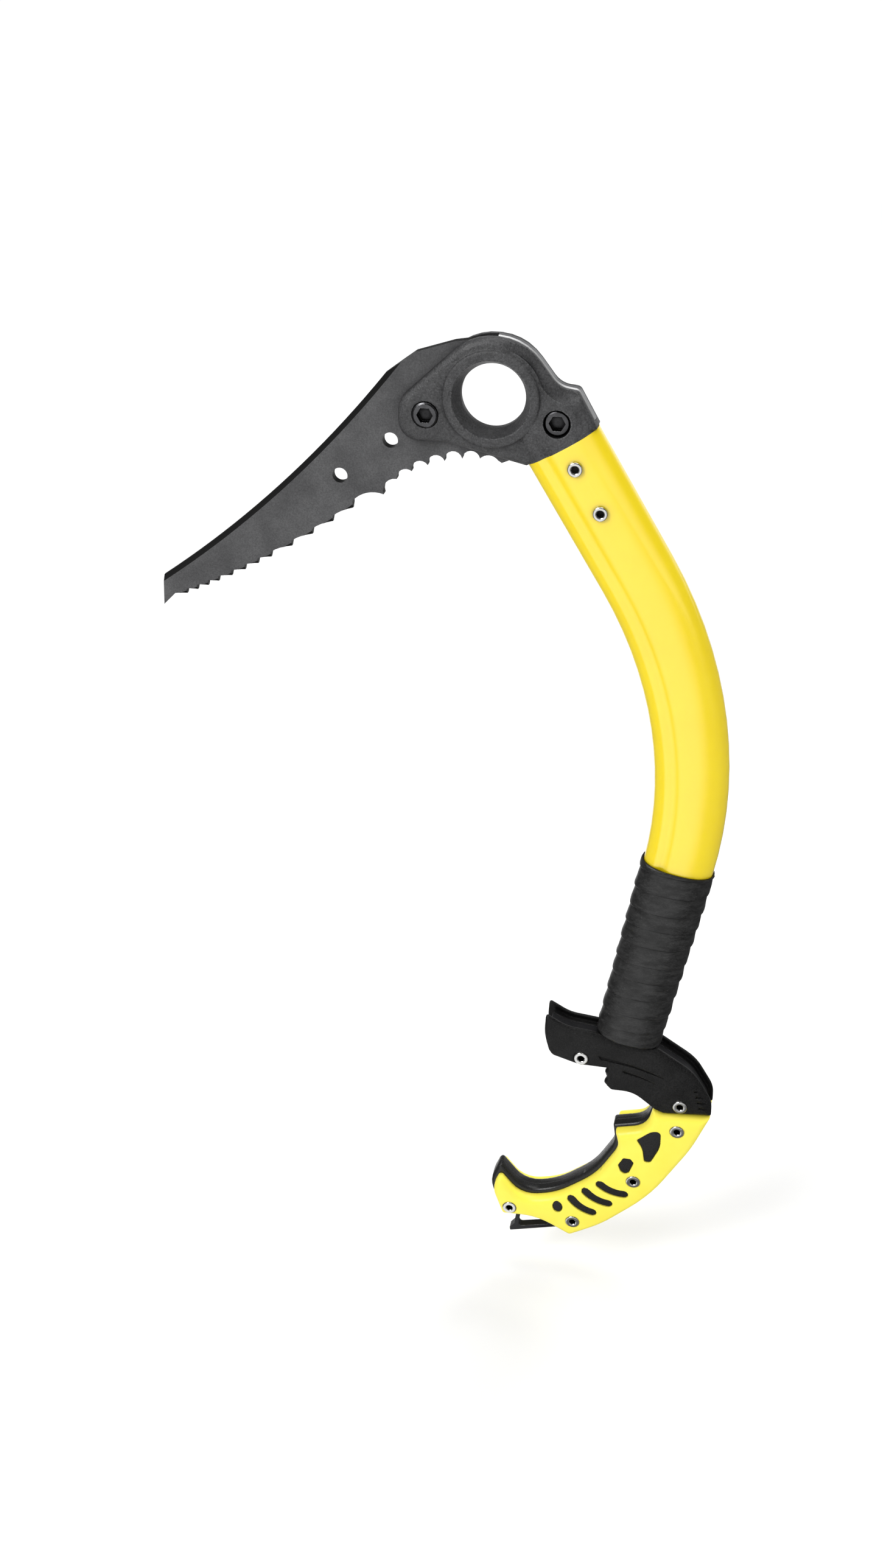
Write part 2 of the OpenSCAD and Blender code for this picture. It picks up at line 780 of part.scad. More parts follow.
module shaft_rivet_lower() {
  shaft_rivet(shaft_rivets[1]);
}

// Tape wound up the lower shaft as a right-handed helix with exposed lower edges
module grip_tape() {
  n = tape_points;
  z0 = slip_gap;
  pitch = (tape_len - z0) / tape_turns;
  phase = [0, 0.07, 0.55];
  thick = [tape_t, tape_t + tape_step, tape_t + 0.5 * tape_step];
  rows = (tape_turns + 2) * 3;
  turns_at = function (k, j) floor(k / 3) + phase[k % 3] - 1 + j / n;
  skin = function (z, j, t)
    let (p = oval(half_depth(tube_len - z) + t, tube_t / 2 + t, n)[j])
    [p.x, p.y, z];
  ring = function (z, t) [for (j = [0:n - 1]) skin(z, j, t)];
  edge_t = tape_t + 0.5 * tape_step;
  points = concat(
    ring(z0, edge_t), ring(tape_len, edge_t),
    ring(z0, seat_gap), ring(tape_len, seat_gap),
    [for (k = [0:rows], j = [0:n - 1])
      let (w = min(max(turns_at(k, j), 0), tape_turns))
      skin(z0 + pitch * w, j, thick[k % 3])]
  );
  id = function (k, j)
    let (row = j == n ? k + 3 : k, col = j % n, w = turns_at(row, col))
    w <= 0.001 ? col : w >= tape_turns - 0.001 ? n + col : 4 * n + row * n + col;
  outside = [for (k = [0:rows - 4], j = [0:n - 1])
    each patch(id(k, j), id(k + 1, j), id(k + 1, j + 1), id(k, j + 1))];
  inside = [for (j = [0:n - 1])
    let (i = (j + 1) % n)
    each concat(
      patch(2 * n + j, 2 * n + i, 3 * n + i, 3 * n + j),
      patch(j, i, 2 * n + i, 2 * n + j),
      patch(n + i, n + j, 3 * n + j, 3 * n + i)
    )];
  whole = [for (f = concat(outside, inside))
    if (f[0] != f[1] && f[1] != f[2] && f[0] != f[2]) f];
  color("#2b2b2b")
    at_handle()
      polyhedron(points, whole, convexity = 10);
}

// Handle outlines in the frame of the tube's lower end, anticlockwise.
// The seam divides the trigger covers above from the grip below.
seam = [[21.6, -35], [26.4, -36], [49.5, -30.8]];
trigger_corners = [
  [-41.3, 3, 1],
  [-39.8, -8, 30],
  [-34.8, -18.9, 4.5],
  [-20, -20.6, 20],
  [-5.2, -17.7, 1.2],
  [-6.4, -20.9, 1.5],
  [-4.6, -24.1, 1.2],
  [-5.5, -27.6, 1.7],
  [-1.8, -30.5, 2.5],
  [9.5, -28.3, 18],
  [seam[0].x, seam[0].y + slip_gap / 2, 5],
  [seam[1].x, seam[1].y + slip_gap / 2, 3],
  [seam[2].x, seam[2].y + slip_gap / 2, 1],
  [47.7, -22.2, 25],
  [35.4, -8.2, 25],
  [16, 0, 8],
  [-17, 0, 18],
  [-30, -1, 18]
];
// Flat face of a trigger cover: its upper edge is the long crease
trigger_face = [
  [-39, -5.4, 1.2],
  [-37.8, -11, 8],
  [-33.8, -17.8, 3.5],
  [-20, -19.4, 20],
  [-4.2, -16.7, 1],
  [-5, -20.7, 1.2],
  [-3.6, -24.1, 1],
  [-4.1, -27.2, 1.3],
  [-1, -29.4, 2],
  [9.5, -27.3, 18],
  [seam[0].x + 0.4, seam[0].y + 1, 6],
  [seam[1].x, seam[1].y + 1, 3],
  [seam[2].x - 3.2, seam[2].y + 1.8, 1],
  [44.2, -24, 20],
  [32.6, -10.8, 20],
  [14, -3.2, 12],
  [-10, -6.6, 30],
  [-26, -10.6, 18]
];
grip_corners = [
  [seam[0].x, seam[0].y - slip_gap / 2, 0.6],
  [21.2, -48.3, 12],
  [6.9, -55.1, 1.2],
  [11.3, -65.3, 15],
  [3.9, -88.3, 44],
  [-12.8, -107.8, 36],
  [-29.8, -115.3, 13],
  [-43.4, -103.4, 1.6],
  [-45.5, -113.4, 25],
  [-37.2, -128, 2.4],
  [-19.5, -123.9, 30],
  [-0.4, -130.1, 3],
  [14, -117, 70],
  [33, -90.2, 90],
  [45.3, -53.6, 90],
  [seam[2].x, seam[2].y - slip_gap / 2, 0.6],
  [seam[1].x, seam[1].y - slip_gap / 2, 3]
];
// The core follows the grip but stands proud on the finger side and round the pommel
core_corners = [for (i = [0:len(grip_corners) - 1])
  let (c = grip_corners[i], n = len(grip_corners))
  let (a = grip_corners[(i + n - 1) % n], b = grip_corners[(i + 1) % n])
  let (n0 = left_of([c.x - a.x, c.y - a.y]), n1 = left_of([b.x - c.x, b.y - c.y]))
  let (grow = i < 1 || i > 8 ? 0 : i < 3 ? hook_proud : core_proud)
  let (out = grow * (n0 + n1) / (1 + n0 * n1))
  [c.x - out.x, c.y - out.y, c.z]];

// Palm side of the grip, where the core leaves the plate's edge open
palm_side = [
  [22.5, -25], [22.5, -44], [28, -46], [25, -62], [17, -86], [1, -107], [-22, -119.5],
  [-36, -121.5], [-60, -126], [-60, -160], [80, -160], [80, -25]
];

trigger_rivets = [[-19.3, -15.7], [33.6, -29]];
grip_rivets = [[35.8, -43.3], [22.6, -82.1], [-1, -119.2], [-34.2, -121.4]];
tang_pins = [[0, 12], [0, 25]];
plug_len = 30;

// Windows in the scales, which the core's pads fill
leaf_window = [
  [18, -55, 1], [22.2, -59.8, 14], [24.8, -67.6, 1.6], [28, -67, 1.8],
  [30.4, -56, 16], [28.4, -46.2, 2.4], [24.2, -47, 8]
];
small_window = [
  [12.8, -73.9, 1], [14.8, -77.4, 1.2], [17.2, -78.8, 1.4], [19.3, -77, 1.2],
  [20.2, -70, 1.4], [18, -68, 1.2], [14.4, -68.6, 1.2]
];

// Curved bar window number i, narrowed by gap
function bar_window(i, gap) =
  let (turn = -9.5 - 7 * i, start = [7.2 - 5.9 * i, -89.8 - 7.2 * i])
  let (way = heading(turn), end = start + 13 * way, r = bar_w / 2 - gap)
  let (rail = concat([start], bow(end, start, 1.3, 6)), n = len(rail) - 1)
  let (spine = concat([start], [for (k = [n - 1:-1:1]) rail[k]], [end]))
  let (tangent = function (k) let (v = spine[min(k + 1, n)] - spine[max(k - 1, 0)]) v / norm(v))
  concat(
    [for (k = [0:n]) spine[k] - r * left_of(tangent(k))],
    [for (a = [-60, -20, 20, 60]) end + r * heading(atan2(tangent(n).y, tangent(n).x) + a)],
    [for (k = [n:-1:0]) spine[k] + r * left_of(tangent(k))],
    [for (a = [120, 160, 200, 240]) start + r * heading(atan2(tangent(0).y, tangent(0).x) + a)]
  );

// All windows as side-view shapes, narrowed by gap
module windows(gap) {
  polygon(rounded(leaf_window, gap));
  polygon(rounded(small_window, gap));
  for (i = [0:2])
    polygon(bar_window(i, gap));
  polygon([for (i = [0:19])
    [-10.5, -112] + [(2.7 - gap) * cos(18 * i) - 0.5 * sin(18 * i), (3.7 - gap) * sin(18 * i)]]);
}

// Rivet and pin holes of the handle as side-view shapes
module handle_holes() {
  for (at = concat(trigger_rivets, grip_rivets))
    translate(at)
      circle(d = shank_d + 2 * seat_gap);
}

// Spike below the pommel with the tether eye, as a side-view shape
module spike() {
  top = -126;
  low = top - 1.5 - eye_h;
  left = -30.4;
  difference() {
    polygon(rounded([
      [left, top + 5, 0.3],
      [left + 0.8, low + 1.1, 2],
      [left - 0.9, low - 2.3, 0.4],
      [left - 0.3, low - 4.3, 0.4],
      [-6, -132.4, 2],
      [-4, top + 5, 0.3]
    ]));
    polygon(rounded([
      [left + eye_bar, top - 1.5, 1],
      [left + eye_bar + 0.4, low, 1.6],
      [-12.5, low + 6.8, 1],
      [-11, top - 1.5, 1]
    ]));
  }
}

module tang_plate() {
  color("#4a4a4c")
    at_handle()
      difference() {
        slab(-plate_y, plate_y)
          union() {
            polygon(rounded(trigger_corners, channel_d));
            polygon(rounded(grip_corners, plate_inset));
            translate([26, -45])
              square([18, 20]);
            translate([-tongue_w / 2, -10])
              square([tongue_w, tongue_len + 10]);
            spike();
          }
        slab(-plate_t, plate_t)
          handle_holes();
        for (at = tang_pins)
          bar(at, pin_d + 2 * seat_gap, -plate_t, plate_t);
      }
}

// Half plug that packs the tube's lower end beside the plate's tongue, on the +Y side
module end_plug() {
  half_d = depth_low / 2 - tube_wall - slip_gap;
  half_t = tube_t / 2 - tube_wall - slip_gap;
  color("#303030")
    at_handle()
      difference() {
        intersection() {
          translate([0, 0, slip_gap])
            linear_extrude(plug_len)
              polygon(oval(half_d, half_t));
          translate([-half_d, plate_y + seat_gap, 0])
            cube([2 * half_d, half_t, plug_len + past]);
        }
        for (at = tang_pins)
          bar(at, pin_d + 2 * seat_gap, 0, tube_t);
      }
}

module end_plug_near() {
  mirror([0, 1, 0])
    end_plug();
}

module end_plug_far() {
  end_plug();
}

module tang_pin(at) {
  color("#9a9a9a")
    at_handle()
      bar(at, pin_d, -tube_t / 2 + 0.2, tube_t / 2 - 0.2);
}

module tang_pin_upper() {
  tang_pin(tang_pins[1]);
}

module tang_pin_lower() {
  tang_pin(tang_pins[0]);
}

// Groove that bows upwards and tapers away from its start, as a side-view shape
module tapered_groove(from, to, sag, width) {
  polygon(concat(
    [from],
    bow(from, to, sag, 8),
    [(from + to) / 2 + [0, sag - 0.55 * width], from + [1.6, -width]]
  ));
}

// Trigger cover on the +Y side
module trigger_cover() {
  rim_y = rim_t / 2;
  face_y = trigger_t / 2;
  block_y = rim_y - rim_w;
  edge = 0.4;
  rim = rounded(trigger_corners, edge);
  run = 1.06;
  color("#232323")
    at_handle()
      difference() {
        union() {
          slab(plate_y + seat_gap, block_y + 0.5)
            polygon(rounded(trigger_corners, channel_d));
          slab(block_y, face_y)
            polygon(rounded(trigger_corners));
        }
        ring_cut([
          [rim_y - past, rounded(trigger_corners, edge - past)],
          [face_y + past, rounded(trigger_corners, edge - past)],
          [rim_y + run * (face_y - rim_y), between(rim, rounded(trigger_face), run)],
          [rim_y, rim]
        ]);
        slab(0, trigger_t)
          handle_holes();
        for (at = trigger_rivets)
          bar(at, grip_flange_d + 2 * seat_gap, trigger_seat, trigger_t);
        slab(face_y - cover_groove_d, trigger_t) {
          tapered_groove([-11.5, -11.6], [24.2, -14.9], 1.4, 1.8);
          tapered_groove([1.4, -16.4], [20.2, -19.4], 0.7, 1.2);
          for (i = [0:3])
            translate([38 + 1.5 * i, -17.8 - 3 * i])
              rotate(14 - 3 * i)
                translate([0, -0.5])
                  square([11 - i, 1.1]);
        }
      }
}

module trigger_cover_near() {
  mirror([0, 1, 0])
    trigger_cover();
}

module trigger_cover_far() {
  trigger_cover();
}

trigger_seat = trigger_t / 2 - flange_h + 0.4;
grip_seat = grip_t / 2 - 0.9;

module handle_rivet(at, seat_y) {
  color("#d8d8d8")
    at_handle()
      hollow_rivet(at, grip_flange_d, seat_y + seat_gap);
}

module trigger_rivet_front() {
  handle_rivet(trigger_rivets[0], trigger_seat);
}

module trigger_rivet_rear() {
  handle_rivet(trigger_rivets[1], trigger_seat);
}

// Core half on the +Y side with the pads that fill the scale's windows
module grip_core() {
  face_y = core_t / 2;
  pad_y = grip_t / 2 - pad_drop;
  color("#1f1f1f")
    at_handle()
      difference() {
        union() {
          difference() {
            slab(seat_gap / 2, face_y)
              polygon(rounded(core_corners));
            rim_cut(core_corners, face_y, [[1.5, 0], [0.45, 0.45], [0, 1.5]]);
            slab(-past, plate_y + seat_gap) {
              polygon(rounded(grip_corners, plate_inset - seat_gap));
              polygon(palm_side);
            }
          }
          slab(face_y - 0.5, pad_y)
            windows(slip_gap);
        }
        slab(0, grip_t)
          handle_holes();
      }
}

module grip_core_near() {
  mirror([0, 1, 0])
    grip_core();
}

module grip_core_far() {
  grip_core();
}

// Yellow scale on the +Y side
module grip_scale() {
  base_y = core_t / 2 + seat_gap;
  face_y = grip_t / 2;
  r = scale_round;
  color("#ffee4a")
    at_handle()
      difference() {
        slab(base_y, face_y)
          polygon(rounded(grip_corners));
        rim_cut(
          grip_corners,
          face_y,
          [[r, 0], [0.62 * r, 0.12 * r], [0.3 * r, 0.36 * r], [0.08 * r, 0.76 * r], [0, 1.2 * r]]
        );
        slab(0, grip_t)
          windows(0);
        slab(0, grip_t)
          handle_holes();
        for (at = grip_rivets)
          bar(at, grip_flange_d + 2 * seat_gap, grip_seat, grip_t);
      }
}

module grip_scale_near() {
  mirror([0, 1, 0])
    grip_scale();
}

module grip_scale_far() {
  grip_scale();
}

module grip_rivet_top() {
  handle_rivet(grip_rivets[0], grip_seat);
}

module grip_rivet_middle() {
  handle_rivet(grip_rivets[1], grip_seat);
}

module grip_rivet_bottom() {
  handle_rivet(grip_rivets[2], grip_seat);
}

module grip_rivet_pommel() {
  handle_rivet(grip_rivets[3], grip_seat);
}

head();
pick();
rear_spacer();
front_bolt();
rear_bolt();
shaft_tube();
shaft_rivet_upper();
shaft_rivet_lower();
grip_tape();
tang_plate();
end_plug_near();
end_plug_far();
tang_pin_upper();
tang_pin_lower();
trigger_cover_near();
trigger_cover_far();
trigger_rivet_front();
trigger_rivet_rear();
grip_core_near();
grip_core_far();
grip_scale_near();
grip_scale_far();
grip_rivet_top();
grip_rivet_middle();
grip_rivet_bottom();
grip_rivet_pommel();
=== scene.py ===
"""Looks of an ice climbing tool: finishes, wound grip tape, studio light and camera."""

import logging
import math
from dataclasses import dataclass, field, replace
from enum import Enum

import bmesh
import bpy
import numpy as np
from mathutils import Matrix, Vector


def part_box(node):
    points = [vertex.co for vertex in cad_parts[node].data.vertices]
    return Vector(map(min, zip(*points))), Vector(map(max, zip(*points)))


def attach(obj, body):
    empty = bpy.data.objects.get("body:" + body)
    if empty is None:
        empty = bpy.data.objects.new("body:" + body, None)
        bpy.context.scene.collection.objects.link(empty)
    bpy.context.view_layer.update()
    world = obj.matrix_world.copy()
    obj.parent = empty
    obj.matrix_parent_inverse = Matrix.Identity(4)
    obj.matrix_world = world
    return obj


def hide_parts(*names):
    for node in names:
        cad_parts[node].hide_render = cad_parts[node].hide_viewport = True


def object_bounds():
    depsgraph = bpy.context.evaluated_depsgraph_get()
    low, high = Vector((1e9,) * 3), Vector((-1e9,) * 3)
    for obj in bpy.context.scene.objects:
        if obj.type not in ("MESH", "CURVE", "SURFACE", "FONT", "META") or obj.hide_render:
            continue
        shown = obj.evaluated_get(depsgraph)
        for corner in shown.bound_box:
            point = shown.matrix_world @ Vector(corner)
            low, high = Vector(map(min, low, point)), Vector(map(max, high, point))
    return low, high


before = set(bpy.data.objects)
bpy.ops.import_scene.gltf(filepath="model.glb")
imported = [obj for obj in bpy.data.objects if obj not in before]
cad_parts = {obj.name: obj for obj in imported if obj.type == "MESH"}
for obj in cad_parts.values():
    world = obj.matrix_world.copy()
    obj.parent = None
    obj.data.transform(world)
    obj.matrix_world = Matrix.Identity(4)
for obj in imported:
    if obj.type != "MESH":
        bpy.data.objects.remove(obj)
CAD_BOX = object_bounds()

LOG = logging.getLogger("ice_tool")
MM = 0.001
ROOT_BODY = "tool"
WHITE = "#ffffff"

# Short names of types
Tree = bpy.types.NodeTree
Node = bpy.types.Node
Socket = bpy.types.NodeSocket
Triple = tuple[float, float, float]

# Distances at which points count as one
CAD_WELD_MM = 0.002
TAPE_WELD_MM = 0.001

# Sockets of a Mix node that mixes colours, numbered because its other kinds share their names
FACTOR, COLOUR_A, COLOUR_B, MIXED = 0, 6, 7, 2

# Octaves of the noises that the finishes share
MOTTLE_NOISE = {"Detail": 4.0, "Roughness": 0.6}
GRAIN_NOISE = {"Detail": 2.0, "Roughness": 0.55}
SPECK_NOISE = {"Detail": 1.0, "Roughness": 0.5}

# Noise levels between which each effect goes from its least to its most
MOTTLE_RANGE = {"From Min": 0.35, "From Max": 0.65}
GRAIN_RANGE = {"From Min": 0.3, "From Max": 0.7}
SPECK_RANGE = {"From Min": 0.62, "From Max": 0.72}
BROKEN_RANGE = {"From Min": 0.38, "From Max": 0.6}

# Cosines between the rounded and the plain normal over which an edge goes from plain to fully lightened, as
# wear and painted highlight
EDGE_WEAR_AND_HIGHLIGHT_RANGE = {"From Min": 0.985, "From Max": 0.86}
EDGE_SAMPLES = 6

# Shares of open sky over which the painted shade in hollows goes from its darkest to none
HOLLOW_SHADE_RANGE = {"From Min": 0.55, "From Max": 0.99}
HOLLOW_SHADE_SAMPLES = 8

# Cosines to the Y axis: a flat side has more than the first, a square cut edge less than the second
FLAT_SIDE = 0.99
CUT_EDGE = 0.3

# Least roughness that the grain leaves
SMOOTHEST = 0.02


def linear(hex_colour: str) -> tuple[float, float, float, float]:
    """Turns an sRGB hex colour into linear light.

    Args:
        hex_colour: Colour such as "#ffe600".

    Returns:
        Linear red, green, blue and an alpha of one.
    """
    parts = [int(hex_colour[i:i + 2], 16) / 255 for i in (1, 3, 5)]
    light = [c / 12.92 if c <= 0.04045 else ((c + 0.055) / 1.055) ** 2.4 for c in parts]
    return (light[0], light[1], light[2], 1.0)


def add_node(
        tree: Tree, kind: str, inputs: dict[str | int, object] | None = None, **settings: object) -> Node:
    """Adds one shader node with its settings and links.

    Args:
        tree: Node tree that takes the node.
        kind: Blender's name of the node type.
        inputs: Values or output sockets for the node's inputs, by name or number.
        settings: The node's own properties.

    Returns:
        The new node.
    """
    node = tree.nodes.new(kind)
    for name, value in settings.items():
        setattr(node, name, value)
    for key, value in (inputs or {}).items():
        if isinstance(value, Socket):
            tree.links.new(value, node.inputs[key])
        else:
            node.inputs[key].default_value = value
    return node


class Facing(Enum):
    """Which faces of a plate a finish paints with light or shade."""

    NONE = "none"
    BEVELS = "bevels and cut edges"
    CHAMFERS = "chamfers only"


@dataclass(frozen=True)
class Finish:
    """One real surface: what it is made of and how it was made, with some light and shade painted into its
    colour.

    All sizes are in millimetres and all colours are sRGB hex values.
    """

    name: str
    colour: str
    shade: str
    roughness: float
    metallic: float = 0.0
    ior: float = 1.5
    gloss: float = 0.5
    coat: float = 0.0
    coat_roughness: float = 0.1
    mottle_mm: float = 12.0
    mottle: float = 0.5
    grain_mm: float = 0.5
    grain_height_mm: float = 0.02
    grain_roughness: float = 0.08
    grain_tone: float = 0.0
    speck: str = WHITE
    speck_mm: float = 0.9
    speck_amount: float = 0.0
    # Painted shade: how much corners and hollows are darkened, and how far the occlusion looks
    hollow_shade: float = 0.0
    hollow_shade_mm: float = 5.0
    # Painted shade: near black colour deep inside a rivet, the depth where it starts below the bright rim,
    # and its fade
    bore_shade: str = "#040404"
    bore_shade_mm: float = 0.0
    bore_shade_fade_mm: float = 0.4
    # Colour and amount of lighter edges, partly wear and partly painted highlight; the radius also rounds the
    # shading
    edge: str = WHITE
    edge_mm: float = 0.5
    edge_wear_and_highlight: float = 0.0
    # Painted light on faces set at an angle to a plate's flat sides: near black shade on the blade, a near
    # white highlight on the spacer
    turned_face_light: str = "#1c1c1c"
    facing: Facing = Facing.NONE
    stretch: Triple = (1.0, 1.0, 1.0)

    def make(self) -> bpy.types.Material:
        """Builds the node material of this finish.

        Returns:
            The new material.
        """
        material = bpy.data.materials.new(self.name)
        material.use_nodes = True
        tree = material.node_tree
        tree.nodes.clear()
        place = add_node(tree, "ShaderNodeTexCoord").outputs["Object"]
        place = add_node(tree, "ShaderNodeMapping", {"Vector": place, "Scale": self.stretch}).outputs[0]
        grain = add_node(tree, "ShaderNodeTexNoise", {
            "Vector": place, "Scale": 1 / (self.grain_mm * MM), **GRAIN_NOISE}).outputs[0]
        rounded = add_node(tree, "ShaderNodeBevel", {
            "Radius": self.edge_mm * MM}, samples=EDGE_SAMPLES).outputs[0]
        rough = add_node(tree, "ShaderNodeMapRange", {
            "Value": grain, **GRAIN_RANGE,
            "To Min": max(self.roughness - self.grain_roughness, SMOOTHEST),
            "To Max": self.roughness + self.grain_roughness})
        bump = add_node(tree, "ShaderNodeBump", {
            "Height": grain, "Normal": rounded,
            "Strength": 1.0, "Distance": self.grain_height_mm * MM})
        shader = add_node(tree, "ShaderNodeBsdfPrincipled", {
            "Base Color": self.paint(tree, place, grain, rounded),
            "Roughness": rough.outputs[0], "Normal": bump.outputs[0],
            "Metallic": self.metallic, "Coat Weight": self.coat, "Coat Roughness": self.coat_roughness})
        if self.metallic < 1:
            shader.inputs["IOR"].default_value = self.ior
            shader.inputs["Specular IOR Level"].default_value = self.gloss
        add_node(tree, "ShaderNodeOutputMaterial", {"Surface": shader.outputs[0]})
        return material

    def paint(self, tree: Tree, place: Socket, grain: Socket, rounded: Socket) -> Socket:
        """Lays the colours over each other, from the ground tone to the painted shade deep inside a rivet.

        Args:
            tree: Node tree of the material.
            place: Texture coordinates in metres.
            grain: Noise of the grain.
            rounded: Normal that leans over at the edges.

        Returns:
            The finished colour.
        """
        mottle = add_node(tree, "ShaderNodeTexNoise", {
            "Vector": place, "Scale": 1 / (self.mottle_mm * MM), **MOTTLE_NOISE})
        tone = add_node(tree, "ShaderNodeMapRange", {
            "Value": mottle.outputs[0], **MOTTLE_RANGE, "To Max": self.mottle})
        colour = add_node(tree, "ShaderNodeMix", {
            FACTOR: tone.outputs[0], COLOUR_A: linear(self.colour), COLOUR_B: linear(self.shade)},
            data_type="RGBA").outputs[MIXED]
        if self.grain_tone > 0:
            colour = self.tone_grain(tree, grain, colour)
        # Painted shade on the blade's bevels, a painted highlight on the spacer's chamfer
        if self.facing is not Facing.NONE:
            colour = self.paint_light_on_turned_faces(tree, colour)
        if self.speck_amount > 0:
            colour = self.add_specks(tree, place, colour)
        # Lighter edges, partly wear and partly painted highlight
        if self.edge_wear_and_highlight > 0:
            colour = self.paint_edge_wear_and_highlight(tree, rounded, grain, colour)
        # Painted shade in hollows and corners
        if self.hollow_shade > 0:
            colour = self.paint_hollow_shade(tree, colour)
        # Painted shade deep inside rivets
        if self.bore_shade_mm > 0:
            colour = self.paint_bore_shade(tree, colour)
        return colour

    def tone_grain(self, tree: Tree, grain: Socket, colour: Socket) -> Socket:
        """Lightens and darkens the colour with the grain.

        Args:
            tree: Node tree of the material.
            grain: Noise of the grain.
            colour: Colour without grain.

        Returns:
            The grainy colour.
        """
        level = add_node(tree, "ShaderNodeMapRange", {
            "Value": grain, **GRAIN_RANGE,
            "To Min": 1 - self.grain_tone, "To Max": 1 + self.grain_tone})
        return add_node(tree, "ShaderNodeVectorMath", {
            0: colour, "Scale": level.outputs[0]}, operation="SCALE").outputs[0]

    def paint_light_on_turned_faces(self, tree: Tree, colour: Socket) -> Socket:
        """Paints a colour standing for light on the faces of a plate that point away from its flat sides:
        painted shade on bevels, a painted highlight on chamfers.

        Args:
            tree: Node tree of the material.
            colour: Colour of the flat sides.

        Returns:
            The colour with painted light on bevels and cut edges, or on chamfers alone.
        """
        normal = add_node(tree, "ShaderNodeNewGeometry").outputs["True Normal"]
        across = add_node(tree, "ShaderNodeSeparateXYZ", {0: normal}).outputs[1]
        flat = add_node(tree, "ShaderNodeMath", {0: across}, operation="ABSOLUTE").outputs[0]
        turned_face_light = add_node(tree, "ShaderNodeMath", {0: flat, 1: FLAT_SIDE}, operation="LESS_THAN")
        if self.facing is Facing.CHAMFERS:
            sloped = add_node(tree, "ShaderNodeMath", {0: flat, 1: CUT_EDGE}, operation="GREATER_THAN")
            turned_face_light = add_node(tree, "ShaderNodeMath", {
                0: turned_face_light.outputs[0], 1: sloped.outputs[0]}, operation="MULTIPLY")
        return add_node(tree, "ShaderNodeMix", {
            FACTOR: turned_face_light.outputs[0], COLOUR_A: colour, COLOUR_B: linear(self.turned_face_light)},
            data_type="RGBA").outputs[MIXED]

    def add_specks(self, tree: Tree, place: Socket, colour: Socket) -> Socket:
        """Scatters small specks over the surface.

        Args:
            tree: Node tree of the material.
            place: Texture coordinates in metres.
            colour: Colour below the specks.

        Returns:
            The colour with its specks.
        """
        grit = add_node(tree, "ShaderNodeTexNoise", {
            "Vector": place, "Scale": 1 / (self.speck_mm * MM), **SPECK_NOISE})
        spot = add_node(tree, "ShaderNodeMapRange", {
            "Value": grit.outputs[0], **SPECK_RANGE, "To Max": self.speck_amount})
        return add_node(tree, "ShaderNodeMix", {
            FACTOR: spot.outputs[0], COLOUR_A: colour, COLOUR_B: linear(self.speck)},
            data_type="RGBA").outputs[MIXED]

    def paint_edge_wear_and_highlight(self, tree: Tree, rounded: Socket, grain: Socket, colour: Socket) -> Socket:
        """Lightens the colour along the edges, broken up by the grain: partly wear, partly a painted
        highlight.

        Args:
            tree: Node tree of the material.
            rounded: Normal that leans over at the edges.
            grain: Noise that breaks up the lightened line.
            colour: Colour away from the edges.

        Returns:
            The colour with lightened edges.
        """
        normal = add_node(tree, "ShaderNodeNewGeometry").outputs["Normal"]
        lean = add_node(tree, "ShaderNodeVectorMath", {0: rounded, 1: normal}, operation="DOT_PRODUCT")
        edge = add_node(tree, "ShaderNodeMapRange", {
            "Value": lean.outputs["Value"], **EDGE_WEAR_AND_HIGHLIGHT_RANGE, "To Max": self.edge_wear_and_highlight})
        broken = add_node(tree, "ShaderNodeMapRange", {"Value": grain, **BROKEN_RANGE})
        worn_and_lit = add_node(tree, "ShaderNodeMath", {
            0: edge.outputs[0], 1: broken.outputs[0]}, operation="MULTIPLY")
        return add_node(tree, "ShaderNodeMix", {
            FACTOR: worn_and_lit.outputs[0], COLOUR_A: colour, COLOUR_B: linear(self.edge)},
            data_type="RGBA").outputs[MIXED]

    def paint_hollow_shade(self, tree: Tree, colour: Socket) -> Socket:
        """Paints shade into corners and hollows, darkening the colour where little light reaches.

        Args:
            tree: Node tree of the material.
            colour: Colour of the open surface.

        Returns:
            The colour with painted shade in its hollows.
        """
        open_sky = add_node(tree, "ShaderNodeAmbientOcclusion", {
            "Distance": self.hollow_shade_mm * MM}, samples=HOLLOW_SHADE_SAMPLES)
        level = add_node(tree, "ShaderNodeMapRange", {
            "Value": open_sky.outputs["AO"], **HOLLOW_SHADE_RANGE, "To Min": 1 - self.hollow_shade})
        return add_node(tree, "ShaderNodeVectorMath", {
            0: colour, "Scale": level.outputs[0]}, operation="SCALE").outputs[0]

    def paint_bore_shade(self, tree: Tree, colour: Socket) -> Socket:
        """Paints near black shade on what lies deeper than the rolled rim of a tubular rivet.

        Args:
            tree: Node tree of the material.
            colour: Colour of the plating.

        Returns:
            The colour with painted shade down the rivet's tube.
        """
        place = add_node(tree, "ShaderNodeTexCoord").outputs["Object"]
        across = add_node(tree, "ShaderNodeSeparateXYZ", {0: place}).outputs[1]
        from_middle = add_node(tree, "ShaderNodeMath", {0: across}, operation="ABSOLUTE")
        inside = add_node(tree, "ShaderNodeMapRange", {
            "Value": from_middle.outputs[0],
            "From Min": self.bore_shade_mm * MM, "From Max": (self.bore_shade_mm - self.bore_shade_fade_mm) * MM})
        return add_node(tree, "ShaderNodeMix", {
            FACTOR: inside.outputs[0], COLOUR_A: colour, COLOUR_B: linear(self.bore_shade)},
            data_type="RGBA").outputs[MIXED]


# Grains under about 0.3 mm don't show from this far, so they are drawn coarser where a comment says so.

